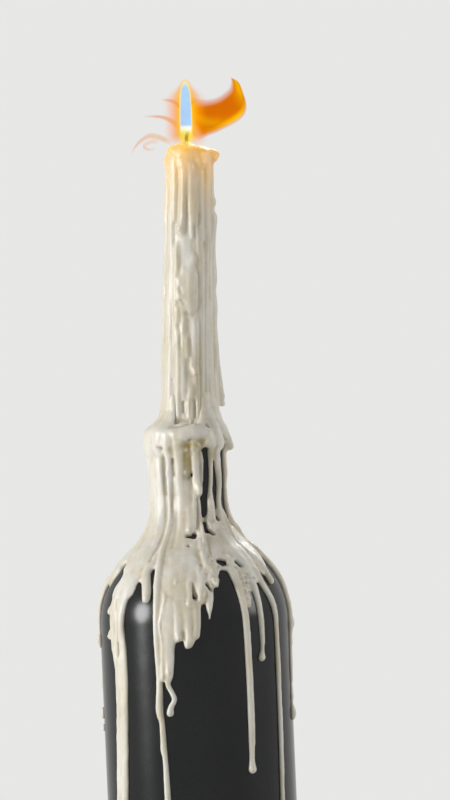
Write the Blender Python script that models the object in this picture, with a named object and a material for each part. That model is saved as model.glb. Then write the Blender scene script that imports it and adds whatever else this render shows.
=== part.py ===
"""Melted candle standing in the neck of a wine bottle, under the wax that has run down it.

Pieces: the blown glass bottle, the taper candle, its cotton wick, the crust of set wax that
covers the lip, neck and shoulder and runs down the body, and two drops of wax that set on the
glass beside it.

Frame: the origin is the centre of the foot on the standing surface, +Z up, the front is -Y.
Tables are in millimetres and degrees. Angles go round the bottle from the front (0) towards +X (90).
"""

import math

import bmesh
import bpy
from mathutils import Vector

MM = 0.001
GAP = 0.3  # clearance that touching pieces keep

# Bottle
BOTTLE_HEIGHT = 270.0
BODY_RADIUS = 37.2
BODY_WALL = 2.7
BODY_TOP = 194.0
NECK_RADIUS = 14.0
NECK_FOOT = 243.0
BORE_RADIUS = 9.3
LIP_RADIUS = 14.8
LIP_DEPTH = 8.0
LIP_ROUND = 1.0
HEEL_ROUND = 4.0
RING_INNER_RADIUS = 27.0
PUNT_HEIGHT = 24.0
PUNT_WALL = 3.6
CONCAVE_SHARE = 0.43  # part of the shoulder's two arcs that curves outwards from the neck
BOTTLE_SEGMENTS = 40

# Candle, in its own frame: Z = 0 at the bottle's lip
CANDLE_TOP = 110.0
CANDLE_TOP_RADIUS = 8.6
CANDLE_FOOT_RADIUS = 10.3
PLUG_RADIUS = 7.6
PLUG_DEPTH = 23.0
CANDLE_LEAN = 2.5  # degrees towards +X
CANDLE_OFFSET = 1.3
MOUND_HEIGHT = 2.9
WICK_RADIUS = 0.9
WICK_ABOVE = 4.6

# Surface fineness of the set wax
WAX_VOXEL = 0.6
SOFTENING_PASSES = 2
CRUST_FACES_KEPT = 0.0235
CANDLE_FACES_KEPT = 0.028

# Runs of wax down the candle: (angle, height above the lip, width, thickness)
CANDLE_RUNS = {
    "left_edge": [(-80, 108, 4, 0.9), (-84, 97, 4.5, 0.9), (-86, 82, 4.2, 1.5), (-84, 78, 4, 1.0),
                  (-82, 60, 5, 1.1), (-84, 48, 5, 1.4), (-84, 38, 5, 1.1), (-82, 28, 6, 1.5),
                  (-82, 14, 6, 1.2), (-80, 4, 7, 1.8)],
    "left_broad": [(-52, 108, 3.5, 0.9), (-52, 90, 3.6, 1.0), (-53, 70, 3.8, 0.9), (-54, 50, 4.4, 1.2),
                   (-52, 30, 5.2, 1.3), (-52, 12, 5.6, 1.5), (-52, 4, 6, 1.6)],
    "left_beige": [(-41, 107, 2.4, 1.0), (-40, 95, 2.6, 1.2), (-40, 83, 2.4, 1.0)],
    "left_thin": [(-34, 72, 1.8, 0.9), (-35, 55, 2.0, 1.1), (-31, 30, 2.2, 1.2), (-28, 3, 2.4, 1.1)],
    "middle_upper": [(-14, 106, 3, 0.9), (-15, 92, 3, 1.2), (-18, 82, 2.8, 1.2), (-20, 77, 2.8, 1.6)],
    "middle_light": [(2, 106, 2.2, 0.9), (4, 92, 2.2, 1.0), (8, 82, 2.4, 1.0), (22, 74, 2.8, 1.1),
                     (30, 62, 3.2, 1.2), (33, 40, 3.4, 1.2), (34, 20, 3.6, 1.3), (34, 3, 4, 1.4)],
    "middle_drop": [(4, 67, 3.4, 0.9), (5, 58, 4.4, 1.4), (4, 49, 4.4, 1.6), (5, 45, 3.4, 1.3)],
    "lower_drop": [(12, 46, 2.8, 0.9), (13, 37, 3.0, 1.2), (10, 27, 3.0, 1.1), (10, 23, 2.8, 1.5)],
    "recess_left": [(-12, 64, 2.8, 0.9), (-14, 48, 3.0, 1.0), (-14, 30, 2.4, 0.9), (-12, 3, 2.2, 0.7)],
    "recess_right": [(13, 22, 2.0, 0.8), (13, 3, 2.0, 0.7)],
    "right_broad": [(56, 108, 4, 0.9), (52, 90, 3.6, 0.9), (54, 70, 3.8, 1.1), (52, 50, 3.8, 1.1),
                    (54, 30, 4, 1.3), (54, 14, 4.4, 1.5), (55, 3.5, 5, 1.6)],
    "right_edge": [(84, 106, 3, 0.9), (84, 93, 2.6, 1.0), (86, 89, 3, 1.9), (84, 86, 2.6, 0.9),
                   (85, 83, 4, 2.1), (84, 78, 4, 1.7), (84, 70, 3.6, 1.2), (83, 60, 4, 1.7),
                   (84, 54, 3.6, 1.2), (84, 48, 4, 1.7), (84, 40, 4.0, 1.4), (82, 30, 4.4, 2.1),
                   (84, 22, 4.4, 1.7), (80, 12, 4.6, 1.9), (78, 3.5, 5, 2.0)],
    "hanging_tip": [(88, 33, 2.4, 1.6), (89, 24, 2.6, 2.5), (90, 16, 2.8, 3.5), (90, 12, 2.9, 4.1)],
    "top_knob": [(74, 110, 4, 0.6), (82, 108.5, 4.6, 2.4), (84, 106, 4.4, 3.0)],
    "top_left_lobe": [(-78, 109, 5, 0.6), (-84, 106, 5, 1.5), (-86, 103, 4, 1.2)],
    "back_1": [(112, 108, 4.4, 0.9), (112, 80, 4.4, 1.1), (110, 55, 4.8, 1.2), (112, 25, 5, 1.4),
               (110, 4, 6, 1.7)],
    "back_2": [(140, 107, 3.4, 1.0), (142, 84, 3.4, 1.2), (141, 64, 3.2, 1.1), (141, 52, 3.6, 1.7)],
    "back_3": [(150, 56, 3, 0.9), (150, 30, 3.8, 1.2), (150, 3.5, 5, 1.5)],
    "back_4": [(172, 108, 4, 0.9), (171, 85, 4.2, 1.1), (173, 50, 4.6, 1.2), (174, 20, 5, 1.4),
               (174, 4, 6, 1.7)],
    "back_5": [(202, 106, 3, 1.0), (202, 88, 3.2, 1.2), (201, 72, 3.6, 1.7)],
    "back_6": [(208, 74, 3, 0.9), (207, 40, 4, 1.2), (206, 3.5, 5, 1.5)],
    "back_7": [(240, 108, 4.4, 1.0), (240, 75, 4.6, 1.1), (241, 40, 5, 1.4), (241, 4, 6.5, 1.7)],
}

# Runs of wax over the lip and down the bottle: (angle, height above the foot, width, thickness)
LEFT_RUNS = {
    "left_sheet": [(-74, 276, 10, 1.2), (-75, 268, 15, 2.2), (-77, 262, 15, 2.7), (-78, 252, 14.5, 1.7),
                   (-78, 240, 15, 1.6), (-75, 231, 18, 1.4), (-68, 223, 24, 1.4), (-60, 216, 26, 1.3),
                   (-54, 210, 18, 1.2)],
    "left_back_sheet": [(-110, 275, 9, 1.2), (-110, 268, 13, 2.2), (-112, 255, 12, 1.7),
                        (-115, 240, 11, 1.5), (-112, 228, 14, 1.3), (-108, 218, 14, 1.2),
                        (-104, 208, 8, 1.2), (-103, 195, 4.5, 1.3), (-103, 178, 3.2, 1.3),
                        (-103, 170, 4.0, 1.9)],
    "left_rim_drip": [(-68, 219, 4, 1.3), (-76, 213.5, 2.8, 1.4), (-81, 210.5, 3.4, 1.8),
                      (-84, 206, 2.2, 1.3), (-86, 201.5, 2.8, 1.7), (-86, 197, 1.9, 1.1),
                      (-86, 191, 1.9, 1.2), (-86, 187.5, 2.6, 1.7)],
    "left_wide_outer": [(-51, 214, 9, 1.4), (-56, 203, 6.4, 1.6), (-58, 194, 3.8, 1.5),
                        (-57.5, 186, 3.4, 1.5), (-55, 179, 3.6, 1.5), (-53.5, 173, 3.2, 1.4)],
    "left_wide_inner": [(-46, 215, 9, 1.4), (-49.5, 202, 5.0, 1.6), (-50.4, 188, 3.0, 1.5),
                        (-51.6, 179, 4.2, 1.6), (-52.2, 173, 5.0, 1.6), (-53.2, 162, 4.2, 1.6),
                        (-53, 146, 3.8, 1.5), (-53.5, 125, 4.1, 1.6), (-53.5, 106, 3.7, 1.5),
                        (-53.5, 96, 3.5, 1.4), (-53.5, 91, 4.8, 2.3)],
    "left_upper_nib": [(-59, 202, 3, 1.6), (-62.5, 199, 2.0, 1.4)],
    "left_lower_nib": [(-59, 193, 3, 1.5), (-62, 189.5, 2.4, 1.5)],
    "left_filling": [(-42, 234, 5, 1.1), (-40, 229, 8, 1.2), (-37, 223, 9, 1.3), (-35, 217, 8, 1.3)],
    "left_tongue": [(-36, 220, 6, 1.3), (-34, 213, 4.0, 1.5), (-32, 208, 3.6, 1.7),
                    (-31, 203.5, 3.0, 1.6)],
}
FRONT_RUNS = {
    "long_strand": [(-31, 273, 6, 1.2), (-30, 265, 5.0, 2.1), (-29.5, 256, 3.2, 1.7),
                    (-30, 249, 3.0, 1.7), (-31, 239, 2.8, 1.5), (-28.5, 234, 3.2, 1.6),
                    (-28, 225, 3.2, 1.8), (-25, 217, 3.4, 2.0), (-23.7, 209, 3.4, 1.9),
                    (-23, 202, 3.0, 1.7), (-23.5, 187, 2.7, 1.5), (-22.9, 173, 2.8, 1.5),
                    (-23.5, 160, 3.1, 1.6), (-22.3, 155, 2.4, 1.4), (-21.9, 145, 2.7, 1.4),
                    (-21.2, 141, 2.2, 1.3), (-20.8, 126, 2.7, 1.4), (-20.5, 106, 2.5, 1.3),
                    (-20.5, 101, 3.9, 2.0)],
    "middle_strand": [(-12, 273, 7, 1.2), (-12.5, 265, 6, 1.9), (-12.5, 256, 4.2, 1.5),
                      (-14, 250, 3.8, 1.4), (-12, 243, 5.0, 1.3), (-9, 237, 9, 1.3),
                      (-6, 229, 14, 1.3)],
    "middle_blanket": [(-9, 239, 8, 1.0), (-6, 230, 16, 1.3), (-6, 222, 19, 1.5), (-7, 214, 21, 1.6),
                       (-9, 206, 18, 1.5), (-11, 198, 15, 1.3), (-13, 191, 10, 1.2)],
    "middle_bulb": [(-2.5, 241, 3.6, 1.4), (0, 234, 4.0, 1.9), (0.7, 230.5, 4.4, 2.4)],
    "short_strand": [(12, 266, 3.4, 1.9), (12.5, 256, 2.4, 1.5), (12.2, 250, 2.4, 1.5),
                     (15, 245.5, 3.4, 2.2)],
    "short_strand_foot": [(10, 248, 2.6, 1.2), (10, 240, 3.2, 1.3), (8, 233, 4, 1.4), (5, 225, 8, 1.4)],
    "thin_strand": [(39, 266, 2.6, 1.6), (38.8, 252, 1.9, 1.2), (36, 245, 2.1, 1.3),
                    (35.2, 240, 3.3, 1.9), (34, 234, 3.2, 1.4), (35, 228, 6, 1.3)],
    "ridge": [(16.6, 233, 3.2, 1.4), (13.2, 226, 3.4, 1.9), (11.3, 220, 3.2, 2.1),
              (10.3, 215, 3.2, 2.1)],
    "ridge_side": [(27, 233.5, 5, 1.3), (24, 229, 8, 1.4), (22, 223, 9, 1.4), (20, 217.5, 6, 1.4)],
    "knob": [(10, 223, 6, 1.5), (12.4, 217, 6, 1.9), (14, 212, 4.8, 2.1), (15.5, 210, 3.6, 1.8)],
    "finger_right": [(6.5, 217, 7, 1.6), (6.2, 212, 5.0, 2.0), (5.6, 206, 4.1, 2.0),
                     (5, 202.5, 3.4, 1.8)],
    "finger_middle": [(-1, 214, 7, 1.6), (-1.1, 208, 5.2, 2.0), (-1.2, 201, 3.9, 2.1)],
    "icicle": [(10.8, 212, 4.4, 1.6), (10.4, 207, 3.8, 1.6), (10.1, 202, 3.2, 1.4),
               (9.6, 197.5, 2.0, 1.1), (9.3, 195, 1.6, 0.9)],
    "lobe_left": [(-9, 204, 7, 1.5), (-9.3, 194, 4.2, 1.8), (-9.6, 188.5, 3.8, 2.0)],
    "lobe_middle": [(-3.5, 204, 7, 1.5), (-3, 193, 4.4, 1.8), (-3.8, 186, 4.0, 2.2)],
    "lobe_right": [(1, 203, 5, 1.5), (1.4, 194, 3.6, 1.7), (0.6, 189, 3.4, 1.9)],
    "squiggle": [(-14, 206, 11, 1.4), (-15.5, 195, 9, 1.4), (-16.5, 186, 6.2, 1.5),
                 (-16.2, 178, 4.0, 1.6), (-16.5, 173.5, 3.2, 1.5), (-17.6, 170.5, 2.2, 1.3),
                 (-15.2, 167, 2.2, 1.3), (-13.8, 164.3, 2.2, 1.3), (-16.2, 161.5, 2.4, 1.4),
                 (-16.8, 159, 3.1, 1.9)],
}
RIGHT_RUNS = {
    "thick_strand": [(48, 270, 5, 1.6), (52, 260, 3.8, 1.7), (55.5, 252, 3.2, 1.6), (56, 247, 2.6, 1.4),
                     (53, 241, 2.6, 1.4), (52, 235, 3.4, 1.4), (49, 228, 8, 1.4), (46, 222, 10, 1.3)],
    "rim_strand": [(84, 267, 3.4, 1.8), (83, 258, 2.5, 1.5), (83, 252, 2.5, 1.7), (80, 247, 2.0, 1.3),
                   (79, 243, 2.3, 1.5), (77, 235, 2.4, 1.5), (78, 231.5, 3.2, 1.9), (81, 229, 3.6, 2.3),
                   (79, 226, 2.7, 1.7), (79, 221, 2.7, 1.9), (80, 217, 2.7, 1.8), (83, 213, 2.7, 1.8),
                   (86, 208, 2.5, 1.7), (86, 202, 2.5, 1.6), (88, 195.5, 2.4, 1.6),
                   (88, 191.5, 3.2, 2.0), (86, 187.5, 2.0, 1.3), (82, 177, 1.9, 1.2),
                   (80, 165, 1.9, 1.2), (80, 160, 1.9, 1.3), (81, 156, 3.1, 2.0)],
    "right_blanket": [(44, 235, 7, 1.2), (42, 228, 13, 1.4), (42, 222, 16, 1.5), (42, 217, 17, 1.4),
                      (42, 213, 13, 1.2)],
    "right_outer_blanket": [(66, 231, 8, 1.2), (64, 225, 12, 1.4), (62, 219, 13, 1.4),
                            (60, 214, 8, 1.2)],
    "inner_drip": [(28, 220, 6, 1.5), (29.4, 212.5, 4.0, 1.6), (30.5, 207.7, 3.4, 1.6),
                   (32, 199, 3.0, 1.5), (33, 190, 3.1, 1.5), (33.5, 171, 3.0, 1.5),
                   (33.3, 149, 3.0, 1.5), (32.8, 140, 2.6, 1.4), (32.6, 135.5, 3.4, 2.1)],
    "short_drip": [(41, 218, 5, 1.4), (42.6, 211, 3.7, 1.5), (43.5, 202, 3.0, 1.5),
                   (44.5, 191, 2.6, 1.4), (44.7, 185, 2.1, 1.2), (44.2, 182, 1.9, 1.2),
                   (43.4, 179, 3.2, 2.1)],
    "outer_drip": [(49, 215, 4.6, 1.4), (51.5, 208, 3.5, 1.5), (55, 203, 3.0, 1.5),
                   (57.5, 198, 2.8, 1.4), (58.8, 190, 2.5, 1.3), (58.8, 171, 2.5, 1.3),
                   (58.3, 149, 2.3, 1.3), (57.2, 122, 2.2, 1.2), (57, 112, 2.1, 1.2),
                   (57, 107.5, 3.2, 1.9)],
    "tongue": [(58, 221, 5, 1.4), (60.5, 214.5, 3.4, 1.7), (62.6, 208.5, 3.0, 1.8)],
}
COLLAR_RUNS = {
    "lobe_inner": [(28, 273, 5, 1.5), (33, 268, 4.2, 2.4), (38, 264.5, 4.2, 2.6), (40, 263, 3.2, 2.2)],
    "lobe_outer": [(46, 274, 5, 1.5), (51, 268, 4.6, 2.5), (56, 264, 4.6, 2.8), (58, 262.5, 3.4, 2.4)],
    "side_drip": [(64, 275, 4.4, 1.4), (73, 268, 3.8, 2.3), (82, 264, 3.6, 3.0), (86, 260.5, 3.2, 3.4)],
    "front_roll": [(-45, 269, 5, 1.6), (-20, 267.5, 6, 1.6), (5, 268.5, 5.4, 1.5), (28, 270, 4.6, 1.4)],
    "left_climb": [(-45, 277, 6, 1.0), (-46, 270, 9, 1.9), (-48, 264, 8, 2.2), (-48, 261, 6, 1.8)],
    "right_climb": [(40, 277, 7, 1.0), (42, 271, 11, 1.5), (44, 267, 10, 1.6)],
}
BACK_RUNS = {
    "back_right": [(106, 276, 8, 1.2), (106, 267, 10, 2.2), (106, 255, 6.5, 1.5), (104, 240, 6, 1.4),
                   (103, 229, 10, 1.4), (104, 219, 12, 1.3), (106, 211, 8, 1.2), (107, 200, 3.8, 1.4),
                   (107, 179, 3.0, 1.4), (107, 173, 3.8, 2.0)],
    "back_sheet_1": [(132, 275, 9, 1.3), (132, 267, 12, 2.2), (132, 257, 10, 1.6), (132, 243, 10, 1.5),
                     (133, 231, 13, 1.3), (135, 221, 15, 1.3), (137, 212, 11, 1.2), (138, 200, 5, 1.5),
                     (138, 180, 3.5, 1.5), (138, 160, 3.2, 1.4), (138, 153, 4.3, 2.1)],
    "back_strand_1": [(158, 272, 6, 1.4), (158, 264, 5, 2.1), (158, 250, 3.2, 1.6), (157, 237, 4, 1.5),
                      (158, 226, 9, 1.4), (160, 216, 8, 1.4), (161, 204, 3.6, 1.5),
                      (161, 190, 3.0, 1.4), (161, 185, 3.8, 2.0)],
    "back_sheet_2": [(185, 276, 10, 1.3), (185, 267, 14, 2.3), (185, 255, 10, 1.6), (184, 240, 10, 1.5),
                     (184, 229, 15, 1.4), (185, 219, 19, 1.4), (186, 211, 16, 1.2), (187, 202, 8, 1.4),
                     (187, 188, 4.4, 1.5), (187, 165, 3.6, 1.5), (187, 140, 3.3, 1.4),
                     (187, 129, 3, 1.4), (187, 123, 4.3, 2.2)],
    "back_strand_2": [(212, 272, 6, 1.4), (212, 264, 5.4, 2.2), (213, 250, 3.4, 1.6),
                      (213, 237, 4.6, 1.5), (212, 226, 9, 1.4), (210, 216, 9, 1.3),
                      (208, 207, 4.4, 1.5), (208, 196, 3.2, 1.5), (208, 191, 4.0, 2.0)],
    "back_sheet_3": [(233, 275, 9, 1.3), (233, 267, 12, 2.2), (233, 255, 9, 1.6), (233, 240, 9, 1.5),
                     (233, 228, 13, 1.3), (233, 218, 16, 1.3), (234, 210, 11, 1.2), (235, 200, 5, 1.4),
                     (235, 182, 3.5, 1.4), (235, 160, 3.1, 1.4), (235, 151, 4.1, 2.0)],
}
LOOSE_DROPS = {
    "wax_drop_upper": [(-89, 160.6, 2.4, 1.0), (-89, 158.4, 2.8, 1.2)],
    "wax_drop_lower": [(-87, 154.2, 1.8, 0.8), (-87, 153.2, 2.0, 0.9)],
}


def clear_scene():
    """Removes every object of the open scene."""
    for item in list(bpy.data.objects):
        bpy.data.objects.remove(item, do_unlink=True)


def material(name, colour, roughness, metallic=0.0):
    """A plain Principled material."""
    made = bpy.data.materials.new(name)
    made.use_nodes = True
    shader = made.node_tree.nodes["Principled BSDF"]
    shader.inputs["Base Color"].default_value = (*colour, 1.0)
    shader.inputs["Roughness"].default_value = roughness
    shader.inputs["Metallic"].default_value = metallic
    made.diffuse_color = (*colour, 1.0)
    return made


def add_object(name, bm, finish=None):
    """Puts a bmesh into the scene as a smooth-shaded object."""
    bmesh.ops.recalc_face_normals(bm, faces=bm.faces)
    mesh = bpy.data.meshes.new(name)
    bm.to_mesh(mesh)
    bm.free()
    mesh.shade_smooth()
    made = bpy.data.objects.new(name, mesh)
    bpy.context.scene.collection.objects.link(made)
    if finish:
        mesh.materials.append(finish)
        mesh.set_sharp_from_angle(angle=math.radians(40))
    return made


def as_cutter(cutter):
    """Marks an object as a cutter, which is no piece of the model."""
    cutter.hide_render = True
    cutter.display_type = "WIRE"
    return cutter


def cut(target, cutter):
    """Takes a cutter out of a target with a Boolean modifier."""
    modifier = target.modifiers.new("cut_" + cutter.name, "BOOLEAN")
    modifier.operation = "DIFFERENCE"
    modifier.solver = "EXACT"
    modifier.object = cutter


def lathe(profile, segments, closed=False):
    """Spins a profile of (radius, height) in millimetres round Z and gives the bmesh."""
    bm = bmesh.new()
    verts = [bm.verts.new((r * MM, 0.0, z * MM)) for r, z in profile]
    edges = [bm.edges.new(pair) for pair in zip(verts, verts[1:])]
    if closed:
        edges.append(bm.edges.new((verts[-1], verts[0])))
    bmesh.ops.spin(bm, geom=verts + edges, cent=(0, 0, 0), axis=(0, 0, 1), dvec=(0, 0, 0),
                   angle=2 * math.pi, steps=segments, use_merge=True, use_duplicate=False)
    bmesh.ops.remove_doubles(bm, verts=bm.verts, dist=0.01 * MM)
    return bm


def arc(centre, radius, start, end, steps):
    """Points of an arc, angles in degrees from +radius towards +Z."""
    turn = [math.radians(start + (end - start) * k / steps) for k in range(steps + 1)]
    return [(centre[0] + radius * math.cos(a), centre[1] + radius * math.sin(a)) for a in turn]


def shoulder(top, bottom, steps):
    """Two tangent arcs that lead from a vertical neck to a vertical body."""
    across = bottom[0] - top[0]
    drop = top[1] - bottom[1]
    turn = 2 * math.atan(across / drop)
    both = drop / math.sin(turn)
    concave = both * CONCAVE_SHARE
    convex = both - concave
    degrees = math.degrees(turn)
    outward = arc((top[0] + concave, top[1]), concave, 180, 180 + degrees, steps)
    inward = arc((bottom[0] - convex, bottom[1]), convex, degrees, 0, steps)
    return outward + inward[1:]


def outside_of_bottle(grow=0.0):
    """The bottle's outer outline from the lip's top edge down to the standing ring."""
    lip = LIP_RADIUS + grow
    top = BOTTLE_HEIGHT + grow
    band_end = BOTTLE_HEIGHT - LIP_DEPTH - grow
    neck = NECK_RADIUS + grow
    corner = arc((lip - LIP_ROUND, top - LIP_ROUND), LIP_ROUND, 90, 0, 2)
    side = shoulder((neck, NECK_FOOT), (BODY_RADIUS + grow, BODY_TOP), 4)
    heel = arc((BODY_RADIUS - HEEL_ROUND, HEEL_ROUND), HEEL_ROUND + grow, 0, -90, 3)
    return corner + [(lip, band_end), (neck, band_end - 1.2)] + side + heel


def make_bottle(finish):
    """Blown bottle: one wall from the lip to the punt, open at the mouth."""
    punt = [(RING_INNER_RADIUS, 0.0), (20.0, 9.5), (10.0, 20.5), (0.0, PUNT_HEIGHT)]
    inner_wall = BODY_RADIUS - BODY_WALL
    floor = [(0.0, PUNT_HEIGHT + PUNT_WALL), (11.0, PUNT_HEIGHT - 0.5), (22.0, 12.0), (29.0, 4.6),
             (inner_wall, 8.0)]
    inner_side = shoulder((BORE_RADIUS, NECK_FOOT + 3), (inner_wall, BODY_TOP - 1), 3)
    mouth = [(BORE_RADIUS, BOTTLE_HEIGHT - 0.7), (BORE_RADIUS + 0.7, BOTTLE_HEIGHT)]
    profile = outside_of_bottle() + punt + floor + inner_side[::-1] + mouth
    bm = lathe(profile, BOTTLE_SEGMENTS, closed=True)
    return add_object("bottle", bm, finish)


def bottle_clearance():
    """The bottle as a filled block, grown by the gap."""
    outline = outside_of_bottle(GAP)
    profile = [(0.0, BOTTLE_HEIGHT + GAP)] + outline + [(0.0, -GAP)]
    return as_cutter(add_object("bottle_clearance", lathe(profile, BOTTLE_SEGMENTS)))


class Surface:
    """A turned surface that wax runs down, known by the distance travelled along its outline."""

    def __init__(self, outline):
        self.points = outline
        self.travel = [0.0]
        for a, b in zip(outline, outline[1:]):
            self.travel.append(self.travel[-1] + math.dist(a, b))

    def at(self, travel):
        """Radius and height after a distance along the outline."""
        for k in range(1, len(self.points)):
            if travel <= self.travel[k] or k == len(self.points) - 1:
                share = (travel - self.travel[k - 1]) / (self.travel[k] - self.travel[k - 1])
                a, b = self.points[k - 1], self.points[k]
                return (a[0] + (b[0] - a[0]) * share, a[1] + (b[1] - a[1]) * share)

    def travel_at(self, height):
        """Distance along the outline at a height."""
        for k in range(1, len(self.points)):
            if height >= self.points[k][1] or k == len(self.points) - 1:
                share = (self.points[k - 1][1] - height) / (self.points[k - 1][1] - self.points[k][1])
                return self.travel[k - 1] + (self.travel[k] - self.travel[k - 1]) * share

    def place(self, angle, travel, height):
        """A point in metres at a height above the surface; the angle is in radians."""
        r, z = self.at(travel)
        before = self.at(travel - 1.0)
        after = self.at(travel + 1.0)
        along = Vector((after[0] - before[0], after[1] - before[1])).normalized()
        r, z = r - along.y * height, z + along.x * height
        return Vector((r * math.sin(angle), -r * math.cos(angle), z)) * MM


def bottle_surface():
    """What the runs follow: the candle's side, over the lip, the neck, the shoulder and the body."""
    climb = [(10.8, 300.0), (10.8, BOTTLE_HEIGHT + 7), (12.0, BOTTLE_HEIGHT + 2.5),
             (LIP_RADIUS, BOTTLE_HEIGHT - 1.5), (LIP_RADIUS, BOTTLE_HEIGHT - LIP_DEPTH + 0.5),
             (NECK_RADIUS, BOTTLE_HEIGHT - LIP_DEPTH - 2.5)]
    side = shoulder((NECK_RADIUS, NECK_FOOT), (BODY_RADIUS, BODY_TOP), 10)
    return Surface(climb + side + [(BODY_RADIUS, HEEL_ROUND)])


def candle_surface():
    """The candle's bare side."""
    return Surface([(CANDLE_TOP_RADIUS, CANDLE_TOP), (CANDLE_FOOT_RADIUS, 0.0)])


def smooth_path(stations, surface):
    """Stations of a run as (angle, travel, width, thickness), sampled along a Catmull-Rom curve."""
    keys = [Vector((math.radians(a), surface.travel_at(z), w, t)) for a, z, w, t in stations]
    keys = [keys[0] * 2 - keys[1]] + keys + [keys[-1] * 2 - keys[-2]]
    path = []
    for a, b, c, d in zip(keys, keys[1:], keys[2:], keys[3:]):
        steps = max(1, round(abs(c[1] - b[1]) / 1.6))
        for k in range(steps):
            t = k / steps
            path.append(0.5 * (2 * b + (c - a) * t + (2 * a - 5 * b + 4 * c - d) * t * t
                               + (3 * b - a - 3 * c + d) * t ** 3))
    path.append(keys[-2])
    return path


def add_run(bm, stations, surface, sides=10):
    """Adds one closed run of wax: half of it stands on the surface, the other half is sunk in it."""
    path = smooth_path(stations, surface)
    rings = []
    for k, (angle, travel, width, thickness) in enumerate(path):
        before, after = path[max(k - 1, 0)], path[min(k + 1, len(path) - 1)]
        radius = surface.at(travel)[0]
        flow = Vector((radius * (after[0] - before[0]), after[1] - before[1])).normalized()
        shapes = [(0.0, 1.0)]
        if k == 0:
            shapes = [(-0.45, 0.4), (-0.3, 0.75), (0.0, 1.0)]
        if k == len(path) - 1:
            shapes = [(0.0, 1.0), (0.3, 0.75), (0.45, 0.4)]
        for ahead, scale in shapes:
            ring = []
            for side in range(sides):
                turn = 2 * math.pi * side / sides
                across = 0.5 * width * scale * math.cos(turn)
                height = thickness * scale * math.sin(turn)
                step = flow * width * ahead
                ring.append(bm.verts.new(surface.place(
                    angle + (step.x + across * flow.y) / radius,
                    travel + step.y - across * flow.x,
                    height)))
            rings.append(ring)
    for upper, lower in zip(rings, rings[1:]):
        for side in range(sides):
            after = (side + 1) % sides
            bm.faces.new((upper[side], upper[after], lower[after], lower[side]))
    bm.faces.new(rings[0][::-1])
    bm.faces.new(rings[-1])


def fuse(target, faces_kept):
    """Fuses overlapping bodies into one skin, softens it and thins its faces."""
    skin = target.modifiers.new("fuse", "REMESH")
    skin.mode = "VOXEL"
    skin.voxel_size = WAX_VOXEL * MM
    evaluated = target.evaluated_get(bpy.context.evaluated_depsgraph_get())
    fused = evaluated.to_mesh()
    bm = bmesh.new()  # built face by face, so that the edges come in the same order each time
    verts = [bm.verts.new(vert.co) for vert in fused.vertices]
    for face in fused.polygons:
        bm.faces.new([verts[index] for index in face.vertices])
    evaluated.to_mesh_clear()
    target.modifiers.remove(skin)
    for _ in range(SOFTENING_PASSES):
        bmesh.ops.smooth_vert(bm, verts=bm.verts, factor=0.5,
                              use_axis_x=True, use_axis_y=True, use_axis_z=True)
    bm.to_mesh(target.data)
    bm.free()
    target.data.shade_smooth()
    thin = target.modifiers.new("thin", "DECIMATE")
    thin.ratio = faces_kept


def stand_in_neck(target):
    """Puts a piece of the candle where it leans in the bottle's neck."""
    target.location = (CANDLE_OFFSET * MM, 0.0, BOTTLE_HEIGHT * MM)
    target.rotation_euler = (0.0, math.radians(CANDLE_LEAN), 0.0)


def candle_bmesh():
    """The taper with its shaved plug, burnt top and the runs down its side."""
    profile = [(0.0, CANDLE_TOP + MOUND_HEIGHT), (1.6, CANDLE_TOP + MOUND_HEIGHT - 0.3),
               (3.2, CANDLE_TOP + 1.4), (4.6, CANDLE_TOP + 0.1), (6.2, CANDLE_TOP + 0.4),
               (CANDLE_TOP_RADIUS - 1.0, CANDLE_TOP + 0.3), (CANDLE_TOP_RADIUS, CANDLE_TOP - 1.2),
               (CANDLE_FOOT_RADIUS, 1.0), (PLUG_RADIUS, 0.4), (PLUG_RADIUS - 0.5, -PLUG_DEPTH + 1.0),
               (PLUG_RADIUS - 1.5, -PLUG_DEPTH), (0.0, -PLUG_DEPTH)]
    bm = lathe(profile, 32)
    surface = candle_surface()
    for stations in CANDLE_RUNS.values():
        add_run(bm, stations, surface)
    return bm


def make_candle(finish):
    """The candle, bored for its wick."""
    candle = add_object("candle", candle_bmesh(), finish)
    fuse(candle, CANDLE_FACES_KEPT)
    stand_in_neck(candle)
    bore = [(0.0, CANDLE_TOP + 8), (WICK_RADIUS + GAP, CANDLE_TOP + 8),
            (WICK_RADIUS + GAP, -PLUG_DEPTH - 3), (0.0, -PLUG_DEPTH - 3)]
    drill = as_cutter(add_object("wick_bore", lathe(bore, 10)))
    stand_in_neck(drill)
    cut(candle, drill)
    return candle


def candle_clearance():
    """The candle grown by the gap."""
    grown = add_object("candle_clearance", candle_bmesh())
    fuse(grown, CANDLE_FACES_KEPT)
    swell = grown.modifiers.new("swell", "DISPLACE")
    swell.mid_level = 0.0
    swell.strength = GAP * MM
    stand_in_neck(grown)
    return as_cutter(grown)


def make_wick(finish):
    """Cotton wick: a cord through the whole candle with a charred tip that leans a little."""
    bm = bmesh.new()
    tip = CANDLE_TOP + MOUND_HEIGHT + WICK_ABOVE
    bend = [(0.0, -PLUG_DEPTH + 0.5, 1.0), (0.0, CANDLE_TOP + MOUND_HEIGHT - 0.5, 1.0),
            (0.1, tip - 3.0, 0.95), (0.35, tip - 1.4, 0.8), (0.7, tip, 0.45)]
    sides = 8
    rings = []
    for lean, z, scale in bend:
        ring = []
        for side in range(sides):
            turn = 2 * math.pi * side / sides
            radius = WICK_RADIUS * scale
            x = lean + radius * math.cos(turn)
            ring.append(bm.verts.new(Vector((x, radius * math.sin(turn), z)) * MM))
        rings.append(ring)
    for lower, upper in zip(rings, rings[1:]):
        for side in range(sides):
            after = (side + 1) % sides
            bm.faces.new((lower[side], lower[after], upper[after], upper[side]))
    bm.faces.new(rings[0][::-1])
    bm.faces.new(rings[-1])
    wick = add_object("wick", bm, finish)
    stand_in_neck(wick)
    return wick


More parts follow.
